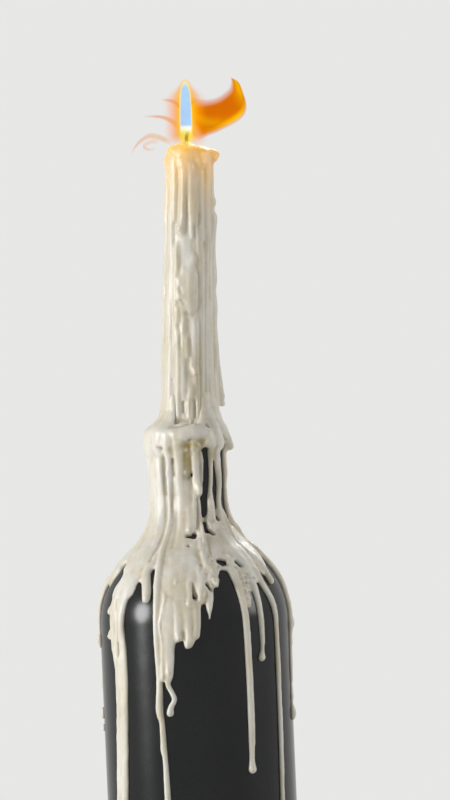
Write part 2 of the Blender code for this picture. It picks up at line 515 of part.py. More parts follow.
def make_crust(finish, cutters):
    """All the wax that has set on the bottle: a collar round the lip and the runs below it."""
    lip = BOTTLE_HEIGHT
    collar = [(11.2, lip + 0.9), (8.0, lip + 0.9), (8.0, lip + 2.6), (10.8, lip + 2.6),
              (12.4, lip + 1.8), (14.8, lip - 0.4), (16.2, lip - 3.0), (16.3, lip - 5.0),
              (15.4, lip - 6.6), (11.2, lip - 7.0)]
    bm = lathe(collar, 40, closed=True)
    surface = bottle_surface()
    for family in (LEFT_RUNS, FRONT_RUNS, RIGHT_RUNS, COLLAR_RUNS, BACK_RUNS):
        for stations in family.values():
            add_run(bm, stations, surface)
    crust = add_object("wax_crust", bm, finish)
    fuse(crust, CRUST_FACES_KEPT)
    for cutter in cutters:
        cut(crust, cutter)
    return crust


def make_drops(finish, cutter):
    """Drops of wax that set on the glass apart from the crust."""
    surface = bottle_surface()
    for name, stations in LOOSE_DROPS.items():
        bm = bmesh.new()
        add_run(bm, stations, surface, sides=8)
        cut(add_object(name, bm, finish), cutter)


def main():
    clear_scene()
    glass = material("dark_glass", (0.012, 0.016, 0.012), 0.22)
    wax = material("wax", (0.80, 0.74, 0.60), 0.42)
    cotton = material("charred_cotton", (0.05, 0.035, 0.03), 0.9)
    bottle_cutter = bottle_clearance()
    make_bottle(glass)
    make_candle(wax)
    make_wick(cotton)
    make_crust(wax, [bottle_cutter, candle_clearance()])
    make_drops(wax, bottle_cutter)


main()
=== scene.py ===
# %% [markdown]
# # A melted candle in the neck of a wine bottle
#
# A taper candle was pushed into the mouth of an empty wine bottle and left to burn. Its wax ran
# over the collar, down the neck, spread over the shoulder and hung on in long threads down the
# body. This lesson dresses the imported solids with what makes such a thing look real: a fine skin
# of wax, dusty dark glass, a braided wick and a flame.
#
# Every piece is made in metres in the frame of the solids, with +Z up and the front towards -Y.
# Tables are easier to read in millimetres and degrees, so they are written that way and
# multiplied by MM.

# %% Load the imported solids
import math

import bmesh
import bpy
import numpy as np
from mathutils import Matrix, Vector, noise


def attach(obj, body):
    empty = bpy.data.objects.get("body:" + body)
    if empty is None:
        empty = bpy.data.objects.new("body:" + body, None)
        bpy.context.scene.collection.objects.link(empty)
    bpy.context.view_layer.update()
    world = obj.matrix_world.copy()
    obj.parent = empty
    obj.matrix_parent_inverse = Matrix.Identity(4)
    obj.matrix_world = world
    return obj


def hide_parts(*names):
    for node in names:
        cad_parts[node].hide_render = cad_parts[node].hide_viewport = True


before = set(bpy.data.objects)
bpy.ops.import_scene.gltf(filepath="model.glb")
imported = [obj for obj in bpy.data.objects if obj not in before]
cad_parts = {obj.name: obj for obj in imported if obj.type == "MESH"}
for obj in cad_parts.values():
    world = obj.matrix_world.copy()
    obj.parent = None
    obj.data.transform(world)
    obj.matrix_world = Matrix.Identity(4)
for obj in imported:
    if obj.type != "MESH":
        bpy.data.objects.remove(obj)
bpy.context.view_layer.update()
MM = 0.001
scene = bpy.context.scene
scene.view_settings.view_transform = "Standard"
print("solids:", ", ".join(sorted(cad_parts)))

# %% [markdown]
# ## Measures
#
# The same values as the solids have, in millimetres and degrees. The bottle is a turned shape, so
# one outline of (radius, height) points says everything about its outside, and the wax needs that
# outline too, because it follows the glass. The candle has a frame of its own, upright and with
# its origin in the bottle's mouth, and stand is the matrix that leans it into place.

# %% Measures of bottle and candle
BOTTLE_HEIGHT = 270.0
BODY_RADIUS = 37.2
BODY_WALL = 2.7
BODY_TOP = 194.0
NECK_RADIUS = 14.0
NECK_FOOT = 243.0
BORE_RADIUS = 9.3
LIP_RADIUS = 14.8
LIP_DEPTH = 8.0
HEEL_ROUND = 4.0
RING_INNER_RADIUS = 27.0
PUNT_HEIGHT = 24.0
PUNT_WALL = 3.6
CONCAVE_SHARE = 0.43
CANDLE_TOP = 110.0
CANDLE_TOP_RADIUS = 8.6
CANDLE_FOOT_RADIUS = 10.3
PLUG_RADIUS = 7.6
PLUG_DEPTH = 23.0
CANDLE_LEAN = 2.5
CANDLE_OFFSET = 1.3
MOUND_HEIGHT = 2.9
WICK_X = -1.2
WICK_ABOVE = 4.6
stand = Matrix.Translation((CANDLE_OFFSET * MM, 0, BOTTLE_HEIGHT * MM)) @ Matrix.Rotation(
    math.radians(CANDLE_LEAN), 4, "Y")
print("the candle leans", CANDLE_LEAN, "degrees and its foot sits at", stand.translation / MM)


# %% The shoulder's outline
def arc(centre, radius, start, end, steps):
    """Points of an arc, in degrees from +radius towards +Z."""
    turns = [math.radians(start + (end - start) * k / steps) for k in range(steps + 1)]
    return [(centre[0] + radius * math.cos(a), centre[1] + radius * math.sin(a)) for a in turns]


def shoulder(top, bottom, steps):
    """Two arcs that lead from an upright neck to an upright body without a kink."""
    across, drop = bottom[0] - top[0], top[1] - bottom[1]
    turn = 2 * math.atan(across / drop)
    both = drop / math.sin(turn)
    concave, convex = both * CONCAVE_SHARE, both * (1 - CONCAVE_SHARE)
    degrees = math.degrees(turn)
    outward = arc((top[0] + concave, top[1]), concave, 180, 180 + degrees, steps)
    return outward + arc((bottom[0] - convex, bottom[1]), convex, degrees, 0, steps)[1:]


shoulder_line = shoulder((NECK_RADIUS, NECK_FOOT), (BODY_RADIUS, BODY_TOP), 24)
print("the shoulder is drawn with", len(shoulder_line), "points")

# %% [markdown]
# ## Camera and light
#
# The camera comes first, so that every later step can be looked at. It stands about level with
# the lip, a good way off, and is rolled a little: the bottle leans to the left in the frame and
# the candle stands upright. The light is plain and soft, one large lamp on each side and one high
# behind, so that colours come out about as they are written.

# %% The camera
CAMERA_PLACE = (0.0158, -4.0, 0.28035)
CAMERA_ROLL = -2.5
lens_data = bpy.data.cameras.new("camera")
lens_data.sensor_fit = "VERTICAL"
lens_data.sensor_height = 36
lens_data.lens = 457
camera = bpy.data.objects.new("camera", lens_data)
level = Matrix.Rotation(math.pi / 2, 4, "X")
roll = Matrix.Rotation(math.radians(CAMERA_ROLL), 4, "Z")
camera.matrix_world = Matrix.Translation(CAMERA_PLACE) @ level @ roll
scene.collection.objects.link(camera)
scene.camera = camera
print("camera at", CAMERA_PLACE, "with a lens of", lens_data.lens, "mm")

# %% Lamps
LAMP_AIM = Vector((0, 0, 0.24))


def add_lamp(name, place, size, watts):
    """A round soft box at a place, turned towards the object; the camera doesn't see it."""
    data = bpy.data.lights.new(name, "AREA")
    data.shape = "DISK"
    data.size = size
    data.energy = watts
    lamp = bpy.data.objects.new(name, data)
    lamp.location = place
    lamp.rotation_euler = (Vector(place) - LAMP_AIM).to_track_quat("Z", "Y").to_euler()
    lamp.visible_camera = False
    scene.collection.objects.link(lamp)


add_lamp("lamp_left", (-2.3, -0.95, 0.69), 0.9, 44)
add_lamp("lamp_right", (2.4, -0.5, 0.9), 1.0, 16)
add_lamp("lamp_behind", (0.8, 2.2, 1.9), 1.3, 28)


# %% [markdown]
# ## Room and floor
#
# A material and the world are trees of small nodes. Joined by hand they take many lines that say
# little, so a few helpers add a node and link it in one go, and the finishes read as what they
# are. The first use is the room: it looks pale to the camera, in reflections and through glass,
# but gives less light than that, so that white wax doesn't burn out. The floor is pale too and
# fades into a background of the same tone far away, so that no horizon cuts through the neck.

# %% Adding and feeding nodes
def node(tree, kind, **sockets):
    """Adds a node and sets its named input sockets; spaces in their names are written as _."""
    made = tree.nodes.new("ShaderNode" + kind)
    for key, value in sockets.items():
        made.inputs[key.replace("_", " ")].default_value = value
    return made


def feed(tree, socket, value):
    """Sets an input socket: another socket is linked to it, and a number or colour is stored in it."""
    if hasattr(value, "links"):
        tree.links.new(value, socket)
    else:
        socket.default_value = (*value, 1.0) if isinstance(value, tuple) else value


def math_node(tree, operation, a, b, clamp=False):
    """A Math node of two inputs, each a socket or a number."""
    made = tree.nodes.new("ShaderNodeMath")
    made.operation = operation
    made.use_clamp = clamp
    feed(tree, made.inputs[0], a)
    feed(tree, made.inputs[1], b)
    return made.outputs[0]


print("helpers: node, feed and math_node")


# %% Colours, ranges and noise
def mix_colour(tree, share, a, b, blend="MIX"):
    """Mixes two colours, each a socket or an (r, g, b) tuple, by a share that is a socket or a number."""
    made = tree.nodes.new("ShaderNodeMix")
    made.data_type = "RGBA"
    made.blend_type = blend
    for index, value in ((0, share), (6, a), (7, b)):
        feed(tree, made.inputs[index], value)
    return made.outputs[2]


def map_range(tree, value, low, high, side="From"):
    """Maps From low..high to 0..1, or with side "To" maps 0..1 to low..high."""
    made = node(tree, "MapRange")
    made.inputs[side + " Min"].default_value = low
    made.inputs[side + " Max"].default_value = high
    tree.links.new(value, made.inputs["Value"])
    return made.outputs[0]


def ramp(tree, source, stops):
    """A colour ramp over (position, colour) stops, fed by a socket."""
    made = tree.nodes.new("ShaderNodeValToRGB")
    elements = made.color_ramp.elements
    while len(elements) < len(stops):
        elements.new(0.5)
    for element, (position, colour) in zip(elements, stops):
        element.position = position
        element.color = (*colour, 1.0)
    tree.links.new(source, made.inputs["Fac"])
    return made.outputs["Color"]


def object_noise(tree, **sockets):
    """Noise in the object's own space."""
    made = node(tree, "TexNoise", **sockets)
    tree.links.new(node(tree, "TexCoord").outputs["Object"], made.inputs["Vector"])
    return made.outputs["Fac"]


def new_material(name):
    """A new material with its node tree and its Principled shader."""
    made = bpy.data.materials.new(name)
    made.use_nodes = True
    return made, made.node_tree, made.node_tree.nodes["Principled BSDF"]


print("helpers: mix_colour, map_range, ramp, object_noise and new_material")

# %% A pale world that lights the object plainly
PALE = (0.80, 0.80, 0.79, 1.0)
ROOM_LIGHT = 0.27


def looked_at(tree):
    """1 where a ray from the camera, a reflection or clear glass looks here, and 0 for plain light."""
    rays = tree.nodes.new("ShaderNodeLightPath")
    straight = math_node(tree, "MAXIMUM", rays.outputs["Is Camera Ray"], rays.outputs["Is Glossy Ray"])
    return math_node(tree, "MAXIMUM", straight, rays.outputs["Is Transmission Ray"])


def mix_shaders(tree, share, a, b, goal):
    """Mixes the outputs of two shader nodes by a share and feeds the result to a socket."""
    either = node(tree, "MixShader")
    tree.links.new(share, either.inputs[0])
    tree.links.new(a.outputs[0], either.inputs[1])
    tree.links.new(b.outputs[0], either.inputs[2])
    tree.links.new(either.outputs[0], goal)


world = bpy.data.worlds.new("pale_room")
scene.world = world
world.use_nodes = True
sky = world.node_tree
sky.nodes.clear()
room_light = node(sky, "Background", Color=PALE, Strength=ROOM_LIGHT)
backdrop = node(sky, "Background", Color=PALE, Strength=1.0)
mix_shaders(sky, looked_at(sky), room_light, backdrop, node(sky, "OutputWorld").inputs["Surface"])
print("the world is seen at strength 1 and lights at", ROOM_LIGHT)

# %% The floor's finish
FLOOR_LIFT = 0.27
FADE_FROM, FADE_TO = 0.20, 0.90


def floor_material():
    """Pale matt floor that takes the shadow and turns into the background's own tone some way out."""
    made, tree, matt = new_material("pale_floor")
    matt.inputs["Roughness"].default_value = 0.9
    matt.inputs["Specular IOR Level"].default_value = 0.0
    grain = object_noise(tree, Scale=60.0, Detail=4.0)
    tone = ramp(tree, grain, [(0.3, (0.755, 0.755, 0.745)), (0.7, (0.775, 0.775, 0.765))])
    tree.links.new(tone, matt.inputs["Base Color"])
    seen = looked_at(tree)
    lift = node(tree, "Emission", Color=PALE)
    tree.links.new(math_node(tree, "MULTIPLY", seen, FLOOR_LIFT), lift.inputs["Strength"])
    lifted = node(tree, "AddShader")
    tree.links.new(matt.outputs[0], lifted.inputs[0])
    tree.links.new(lift.outputs[0], lifted.inputs[1])
    distance = tree.nodes.new("ShaderNodeVectorMath")
    distance.operation = "LENGTH"
    tree.links.new(node(tree, "TexCoord").outputs["Object"], distance.inputs[0])
    far = map_range(tree, distance.outputs["Value"], FADE_FROM, FADE_TO)
    away = math_node(tree, "MULTIPLY", seen, far)
    pale = node(tree, "Emission", Color=PALE)
    mix_shaders(tree, away, lifted, pale, tree.nodes["Material Output"].inputs["Surface"])
    return made


pale_floor = floor_material()
print("the floor fades into the background from", FADE_FROM, "to", FADE_TO, "m out")


# %% The floor
def mesh_from(name, points, faces):
    """A mesh from points in metres and a list of faces."""
    mesh = bpy.data.meshes.new(name)
    mesh.from_pydata([tuple(p) for p in points], [], faces)
    return mesh


def new_object(name, mesh, material):
    """Links a mesh into the scene as a smooth-shaded object of one material."""
    piece = bpy.data.objects.new(name, mesh)
    scene.collection.objects.link(piece)
    mesh.shade_smooth()
    mesh.materials.append(material)
    return piece


REACH = 60.0
corners = [(-REACH, -REACH, 0), (REACH, -REACH, 0), (REACH, REACH, 0), (-REACH, REACH, 0)]
floor = new_object("floor", mesh_from("floor", corners, [(0, 1, 2, 3)]), pale_floor)
print("the floor is", 2 * REACH, "m wide")

# %% [markdown]
# ## Where the wax ran
#
# Each run of wax is written as stations from top to bottom: the angle round the bottle (0 is the
# front, 90 the right), the height, and the run's width and thickness there. Swellings and drops at
# the ends are simply stations that are wider and thicker. The first tables hold the runs that
# the solids have too, a few of them with finer ends; the finer runs after them are only in the
# skin. Creases, holes, films and stains come last.

# %% Runs down the candle
# Stations are (angle, height above the lip, width, thickness).
CANDLE_RUNS = {
    "left_edge": [(-80, 108, 4, 0.9), (-84, 97, 4.5, 0.9), (-86, 82, 4.2, 1.5), (-84, 78, 4, 1.0),
                  (-82, 60, 5, 1.1), (-84, 48, 5, 1.4), (-84, 38, 5, 1.1), (-82, 28, 6, 1.5),
                  (-82, 14, 6, 1.2), (-80, 4, 7, 1.8)],
    "left_broad": [(-52, 108, 3.5, 0.9), (-52, 90, 3.6, 1.0), (-53, 70, 3.8, 0.9), (-54, 50, 4.4, 1.2),
                   (-52, 30, 5.2, 1.3), (-52, 12, 5.6, 1.5), (-52, 4, 6, 1.6)],
    "left_beige": [(-41, 107, 2.4, 1.0), (-40, 95, 2.6, 1.2), (-40, 83, 2.4, 1.0)],
    "left_thin": [(-34, 72, 1.8, 0.9), (-35, 55, 2.0, 1.1), (-31, 30, 2.2, 1.2), (-28, 3, 2.4, 1.1)],
    "middle_upper": [(-14, 106, 3, 0.9), (-15, 92, 3, 1.2), (-18, 82, 2.8, 1.2), (-20, 77, 2.8, 1.6)],
    "middle_light": [(2, 106, 2.2, 0.9), (4, 92, 2.2, 1.0), (8, 82, 2.4, 1.0), (22, 74, 2.8, 1.1),
                     (30, 62, 3.2, 1.2), (33, 40, 3.4, 1.2), (34, 20, 3.6, 1.3), (34, 3, 4, 1.4)],
    "middle_drop": [(4, 67, 3.4, 0.9), (5, 58, 4.4, 1.4), (4, 49, 4.4, 1.6), (5, 45, 3.4, 1.3)],
    "lower_drop": [(12, 46, 2.8, 0.9), (13, 37, 3.0, 1.2), (10, 27, 3.0, 1.1), (10, 23, 2.8, 1.5)],
    "recess_left": [(-12, 64, 2.8, 0.9), (-14, 48, 3.0, 1.0), (-14, 30, 2.4, 0.9), (-12, 3, 2.2, 0.7)],
    "recess_right": [(13, 22, 2.0, 0.8), (13, 3, 2.0, 0.7)],
    "right_broad": [(56, 108, 4, 0.9), (52, 90, 3.6, 0.9), (54, 70, 3.8, 1.1), (52, 50, 3.8, 1.1),
                    (54, 30, 4, 1.3), (54, 14, 4.4, 1.5), (55, 3.5, 5, 1.6)],
    "right_edge": [(84, 106, 3, 0.9), (84, 93, 2.6, 1.0), (86, 89, 3, 1.9), (84, 86, 2.6, 0.9),
                   (85, 83, 4, 2.1), (84, 78, 4, 1.7), (84, 70, 3.6, 1.2), (83, 60, 4, 1.7),
                   (84, 54, 3.6, 1.2), (84, 48, 4, 1.7), (84, 40, 4.0, 1.4), (82, 30, 4.4, 2.1),
                   (84, 22, 4.4, 1.7), (80, 12, 4.6, 1.9), (78, 3.5, 5, 2.0)],
    "hanging_tip": [(88, 33, 2.4, 1.6), (89, 24, 2.6, 2.5), (90, 16, 2.7, 3.4),
                    (90, 13.4, 2.6, 3.9), (90, 11.4, 2.4, 4.1)],
    "top_knob": [(80, 108.5, 3.6, 1.6), (82, 108.0, 4.4, 2.6), (84, 106.4, 4.4, 3.0)],
    "top_left_lobe": [(-78, 107.8, 4.6, 0.8), (-84, 105.6, 5, 1.5), (-86, 103, 4, 1.2)],
    "back_1": [(112, 108, 4.4, 0.9), (112, 80, 4.4, 1.1), (110, 55, 4.8, 1.2), (112, 25, 5, 1.4),
               (110, 4, 6, 1.7)],
    "back_2": [(140, 107, 3.4, 1.0), (142, 84, 3.4, 1.2), (141, 64, 3.2, 1.1), (141, 52, 3.6, 1.7)],
    "back_3": [(150, 56, 3, 0.9), (150, 30, 3.8, 1.2), (150, 3.5, 5, 1.5)],
    "back_4": [(172, 108, 4, 0.9), (171, 85, 4.2, 1.1), (173, 50, 4.6, 1.2), (174, 20, 5, 1.4),
               (174, 4, 6, 1.7)],
    "back_5": [(202, 106, 3, 1.0), (202, 88, 3.2, 1.2), (201, 72, 3.6, 1.7)],
    "back_6": [(208, 74, 3, 0.9), (207, 40, 4, 1.2), (206, 3.5, 5, 1.5)],
    "back_7": [(240, 108, 4.4, 1.0), (240, 75, 4.6, 1.1), (241, 40, 5, 1.4), (241, 4, 6.5, 1.7)],
}
print(len(CANDLE_RUNS), "runs down the candle")

# %% Runs over the lip and down the left side
# From here on a station's height is measured from the bottle's foot.
LEFT_RUNS = {
    "left_sheet": [(-74, 276, 10, 1.2), (-75, 268, 15, 2.2), (-77, 262, 15, 2.7), (-78, 252, 14.5, 1.7),
                   (-78, 240, 15, 1.6), (-75, 231, 18, 1.4), (-68, 223, 24, 1.4), (-60, 216, 26, 1.3),
                   (-54, 210, 18, 1.2)],
    "left_back_sheet": [(-110, 275, 9, 1.2), (-110, 268, 13, 2.2), (-112, 255, 12, 1.7),
                        (-115, 240, 11, 1.5), (-112, 228, 14, 1.3), (-108, 218, 14, 1.2),
                        (-104, 208, 8, 1.2), (-103, 195, 4.5, 1.3), (-103, 178, 3.2, 1.3),
                        (-103, 170, 4.0, 1.9)],
    "left_rim_drip": [(-68, 219, 4, 1.3), (-76, 213.5, 2.8, 1.4), (-81, 210.5, 3.4, 1.8),
                      (-84, 206, 2.0, 1.0), (-86, 201.5, 2.6, 1.5), (-86, 197, 1.6, 0.85),
                      (-86, 191, 1.6, 0.85), (-86, 188.3, 2.5, 1.6), (-86, 185.6, 1.6, 0.9)],
    "left_wide_outer": [(-51, 214, 9, 1.4), (-56, 203, 6.4, 1.6), (-58, 194, 3.8, 1.5),
                        (-57.5, 186, 3.4, 1.5), (-55, 179, 3.6, 1.5), (-53.5, 173, 3.2, 1.4)],
    "left_wide_inner": [(-46, 215, 9, 1.4), (-49.5, 202, 5.0, 1.6), (-50.4, 188, 3.0, 1.5),
                        (-51.6, 179, 4.2, 1.6), (-52.2, 173, 5.0, 1.6), (-53.2, 162, 4.2, 1.6),
                        (-53, 146, 3.8, 1.5), (-53.5, 125, 4.1, 1.6), (-53.5, 106, 3.7, 1.5),
                        (-53.5, 96, 3.5, 1.4), (-53.5, 91, 4.8, 2.3)],
    "left_upper_nib": [(-59, 202, 3, 1.6), (-62.5, 199, 2.0, 1.4)],
    "left_lower_nib": [(-59, 193, 3, 1.5), (-62, 189.5, 2.4, 1.5)],
    "left_filling": [(-42, 234, 5, 1.1), (-40, 229, 8, 1.2), (-37, 223, 9, 1.3), (-35, 217, 8, 1.3)],
    "left_tongue": [(-36, 220, 6, 1.3), (-34, 213, 4.0, 1.5), (-32, 208, 3.6, 1.7),
                    (-31, 203.5, 3.0, 1.6)],
}
print(len(LEFT_RUNS), "runs down the left side")

# %% Runs down the front
FRONT_RUNS = {
    "long_strand": [(-31, 273, 6, 1.2), (-30, 265, 5.0, 2.1), (-29.5, 256, 3.2, 1.7),
                    (-30, 249, 3.0, 1.7), (-31, 239, 2.8, 1.5), (-28.5, 234, 3.2, 1.6),
                    (-28, 225, 3.2, 1.8), (-25, 217, 3.4, 2.0), (-23.7, 209, 3.4, 1.9),
                    (-23, 202, 3.0, 1.7), (-23.5, 187, 2.7, 1.5), (-22.9, 173, 2.8, 1.5),
                    (-23.5, 160, 3.1, 1.6), (-22.3, 155, 2.4, 1.4), (-21.9, 145, 2.7, 1.4),
                    (-21.2, 141, 2.2, 1.3), (-20.8, 126, 2.7, 1.4), (-20.5, 106, 2.5, 1.3),
                    (-20.5, 101, 3.9, 2.0)],
    "middle_strand": [(-12, 273, 7, 1.2), (-12.5, 265, 6, 1.9), (-12.5, 256, 4.2, 1.5),
                      (-14, 250, 3.8, 1.4), (-12, 243, 5.0, 1.3), (-9, 237, 9, 1.3),
                      (-6, 229, 14, 1.3)],
    "middle_blanket": [(-9, 239, 8, 1.0), (-6, 230, 16, 1.3), (-6, 222, 19, 1.5), (-7, 214, 21, 1.6),
                       (-9, 206, 18, 1.5), (-11, 198, 15, 1.3), (-13, 191, 10, 1.2)],
    "middle_bulb": [(-2.5, 241, 3.6, 1.4), (0, 234, 4.0, 1.9), (0.7, 230.5, 4.4, 2.4)],
    "short_strand": [(12, 266, 3.4, 1.9), (12.5, 256, 2.4, 1.5), (12.2, 250, 2.4, 1.5),
                     (15, 245.5, 3.4, 2.2)],
    "short_strand_foot": [(10, 248, 2.6, 1.2), (10, 240, 3.2, 1.3), (8, 233, 4, 1.4), (5, 225, 8, 1.4)],
    "thin_strand": [(39, 266, 2.6, 1.6), (38.8, 252, 1.9, 1.2), (36, 245, 2.1, 1.3),
                    (35.2, 240, 3.3, 1.9), (34, 234, 3.2, 1.4), (35, 228, 6, 1.3)],
    "ridge": [(16.6, 233, 3.2, 1.4), (13.2, 226, 3.4, 1.9), (11.3, 220, 3.2, 2.1),
              (10.3, 215, 3.2, 2.1)],
    "ridge_side": [(27, 233.5, 5, 1.3), (24, 229, 8, 1.4), (22, 223, 9, 1.4), (20, 217.5, 6, 1.4)],
    "knob": [(10, 223, 6, 1.5), (12.4, 217, 6, 1.9), (14, 212, 4.8, 2.1), (15.5, 210, 3.6, 1.8)],
    "finger_right": [(6.5, 217, 7, 1.6), (6.2, 212, 5.0, 2.0), (5.6, 206, 4.1, 2.0),
                     (5, 202.5, 3.4, 1.8)],
    "finger_middle": [(-1, 214, 7, 1.6), (-1.1, 208, 5.2, 2.0), (-1.2, 201, 3.9, 2.1)],
    "icicle": [(10.8, 212, 4.4, 1.6), (10.4, 207, 3.8, 1.6), (10.1, 202, 3.2, 1.4),
               (9.6, 197.5, 1.5, 0.9), (9.3, 195, 0.8, 0.6)],
    "lobe_left": [(-9, 204, 7, 1.5), (-9.3, 194, 4.2, 1.8), (-9.6, 188.5, 3.8, 2.0)],
    "lobe_middle": [(-3.5, 204, 7, 1.5), (-3, 193, 4.4, 1.8), (-3.8, 186, 4.0, 2.2)],
    "lobe_right": [(1, 203, 5, 1.5), (1.4, 194, 3.6, 1.7), (0.6, 189, 3.4, 1.9)],
    "squiggle": [(-14, 206, 11, 1.4), (-15.5, 195, 9, 1.4), (-16.5, 186, 6.2, 1.5),
                 (-16.2, 178, 4.0, 1.6), (-16.5, 173.5, 3.2, 1.5), (-17.6, 170.5, 2.2, 1.3),
                 (-15.2, 167, 2.2, 1.3), (-13.8, 164.3, 2.2, 1.3), (-16.2, 161.5, 2.4, 1.4),
                 (-16.8, 159, 3.1, 1.9)],
}
print(len(FRONT_RUNS), "runs down the front")

# %% Runs down the right side
RIGHT_RUNS = {
    "thick_strand": [(48, 270, 5, 1.6), (52, 260, 3.8, 1.7), (55.5, 252, 3.2, 1.6), (56, 247, 2.6, 1.4),
                     (53, 241, 2.6, 1.4), (52, 235, 3.4, 1.4), (49, 228, 8, 1.4), (46, 222, 10, 1.3)],
    "rim_strand": [(84, 267, 3.4, 1.8), (83, 258, 2.5, 1.5), (83, 252, 2.5, 1.7), (80, 247, 2.0, 1.3),
                   (79, 243, 2.3, 1.5), (77, 235, 2.4, 1.5), (78, 231.5, 3.2, 1.9), (81, 229, 3.6, 2.3),
                   (79, 226, 2.7, 1.7), (79, 221, 2.7, 1.9), (80, 217, 2.7, 1.8), (83, 213, 2.7, 1.8),
                   (86, 208, 2.5, 1.7), (86, 202, 2.5, 1.6), (88, 195.5, 2.4, 1.6),
                   (88, 191.5, 3.2, 2.2), (86, 187.5, 1.9, 1.2), (83, 177, 1.8, 1.1),
                   (82, 168, 1.5, 0.8), (81, 163, 1.7, 1.0), (81, 160, 1.5, 0.8),
                   (81, 156.4, 2.9, 1.9), (81, 154.2, 2.0, 1.2)],
    "right_blanket": [(44, 235, 7, 1.2), (42, 228, 13, 1.4), (42, 222, 16, 1.5), (42, 217, 17, 1.4),
                      (42, 213, 13, 1.2)],
    "right_outer_blanket": [(66, 231, 8, 1.2), (64, 225, 12, 1.4), (62, 219, 13, 1.4),
                            (60, 214, 8, 1.2)],
    "inner_drip": [(28, 220, 6, 1.5), (29.4, 212.5, 4.0, 1.6), (30.5, 207.7, 3.4, 1.6),
                   (32, 199, 3.0, 1.5), (33, 190, 3.1, 1.5), (33.5, 171, 3.0, 1.5),
                   (33.3, 149, 3.0, 1.5), (32.8, 140, 2.6, 1.4), (32.6, 135.5, 3.4, 2.1)],
    "short_drip": [(41, 218, 5, 1.4), (42.6, 211, 3.7, 1.5), (43.5, 202, 3.0, 1.5),
                   (44.5, 191, 2.6, 1.4), (44.7, 185, 2.1, 1.2), (44.2, 182, 1.9, 1.2),
                   (43.4, 179, 3.2, 2.1)],
    "outer_drip": [(49, 215, 4.6, 1.4), (51.5, 208, 3.5, 1.5), (55, 203, 3.0, 1.5),
                   (57.5, 198, 2.8, 1.4), (58.8, 190, 2.5, 1.3), (58.8, 171, 2.5, 1.3),
                   (58.3, 149, 2.3, 1.3), (57.2, 122, 2.2, 1.2), (57, 112, 2.1, 1.2),
                   (57, 107.5, 3.2, 1.9)],
    "tongue": [(58, 221, 5, 1.4), (60.5, 214.5, 3.4, 1.7), (62.6, 208.5, 3.0, 1.8)],
}
print(len(RIGHT_RUNS), "runs down the right side")

# %% Rolls and lobes round the collar
COLLAR_RUNS = {
    "lobe_inner": [(28, 273, 5, 1.5), (33, 268, 4.2, 2.4), (38, 264.5, 4.2, 2.6), (40, 263, 3.2, 2.2)],
    "lobe_outer": [(46, 274, 5, 1.5), (51, 268, 4.6, 2.5), (56, 264, 4.6, 2.8), (58, 262.5, 3.4, 2.4)],
    "side_drip": [(64, 275, 4.4, 1.4), (73, 269, 3.8, 2.3), (82, 265, 3.6, 3.2), (86, 262.2, 3.2, 4.0)],
    "front_roll": [(-45, 269, 5, 1.6), (-20, 267.5, 6, 1.6), (5, 268.5, 5.4, 1.5), (28, 270, 4.6, 1.4)],
    "left_climb": [(-45, 277, 6, 1.0), (-46, 270, 9, 1.9), (-48, 264, 8, 2.2), (-48, 261, 6, 1.8)],
    "right_climb": [(40, 277, 7, 1.0), (42, 271, 11, 1.5), (44, 267, 10, 1.6)],
}
print(len(COLLAR_RUNS), "rolls and lobes round the collar")

# %% Runs down the back
BACK_RUNS = {
    "back_right": [(106, 276, 8, 1.2), (106, 267, 10, 2.2), (106, 255, 6.5, 1.5), (104, 240, 6, 1.4),
                   (103, 229, 10, 1.4), (104, 219, 12, 1.3), (106, 211, 8, 1.2), (107, 200, 3.8, 1.4),
                   (107, 179, 3.0, 1.4), (107, 173, 3.8, 2.0)],
    "back_sheet_1": [(132, 275, 9, 1.3), (132, 267, 12, 2.2), (132, 257, 10, 1.6), (132, 243, 10, 1.5),
                     (133, 231, 13, 1.3), (135, 221, 15, 1.3), (137, 212, 11, 1.2), (138, 200, 5, 1.5),
                     (138, 180, 3.5, 1.5), (138, 160, 3.2, 1.4), (138, 153, 4.3, 2.1)],
    "back_strand_1": [(158, 272, 6, 1.4), (158, 264, 5, 2.1), (158, 250, 3.2, 1.6), (157, 237, 4, 1.5),
                      (158, 226, 9, 1.4), (160, 216, 8, 1.4), (161, 204, 3.6, 1.5),
                      (161, 190, 3.0, 1.4), (161, 185, 3.8, 2.0)],
    "back_sheet_2": [(185, 276, 10, 1.3), (185, 267, 14, 2.3), (185, 255, 10, 1.6), (184, 240, 10, 1.5),
                     (184, 229, 15, 1.4), (185, 219, 19, 1.4), (186, 211, 16, 1.2), (187, 202, 8, 1.4),
                     (187, 188, 4.4, 1.5), (187, 165, 3.6, 1.5), (187, 140, 3.3, 1.4),
                     (187, 129, 3, 1.4), (187, 123, 4.3, 2.2)],
    "back_strand_2": [(212, 272, 6, 1.4), (212, 264, 5.4, 2.2), (213, 250, 3.4, 1.6),
                      (213, 237, 4.6, 1.5), (212, 226, 9, 1.4), (210, 216, 9, 1.3),
                      (208, 207, 4.4, 1.5), (208, 196, 3.2, 1.5), (208, 191, 4.0, 2.0)],
    "back_sheet_3": [(233, 275, 9, 1.3), (233, 267, 12, 2.2), (233, 255, 9, 1.6), (233, 240, 9, 1.5),
                     (233, 228, 13, 1.3), (233, 218, 16, 1.3), (234, 210, 11, 1.2), (235, 200, 5, 1.4),
                     (235, 182, 3.5, 1.4), (235, 160, 3.1, 1.4), (235, 151, 4.1, 2.0)],
}
print(len(BACK_RUNS), "runs down the back")

# %% Drops that set apart
LOOSE_DROPS = {
    "wax_drop_upper": [(-89, 160.6, 2.4, 1.0), (-89, 158.4, 2.8, 1.2)],
    "wax_drop_lower": [(-87, 154.2, 1.8, 0.8), (-87, 153.2, 2.0, 0.9)],
}
print(len(LOOSE_DROPS), "drops beside the runs")

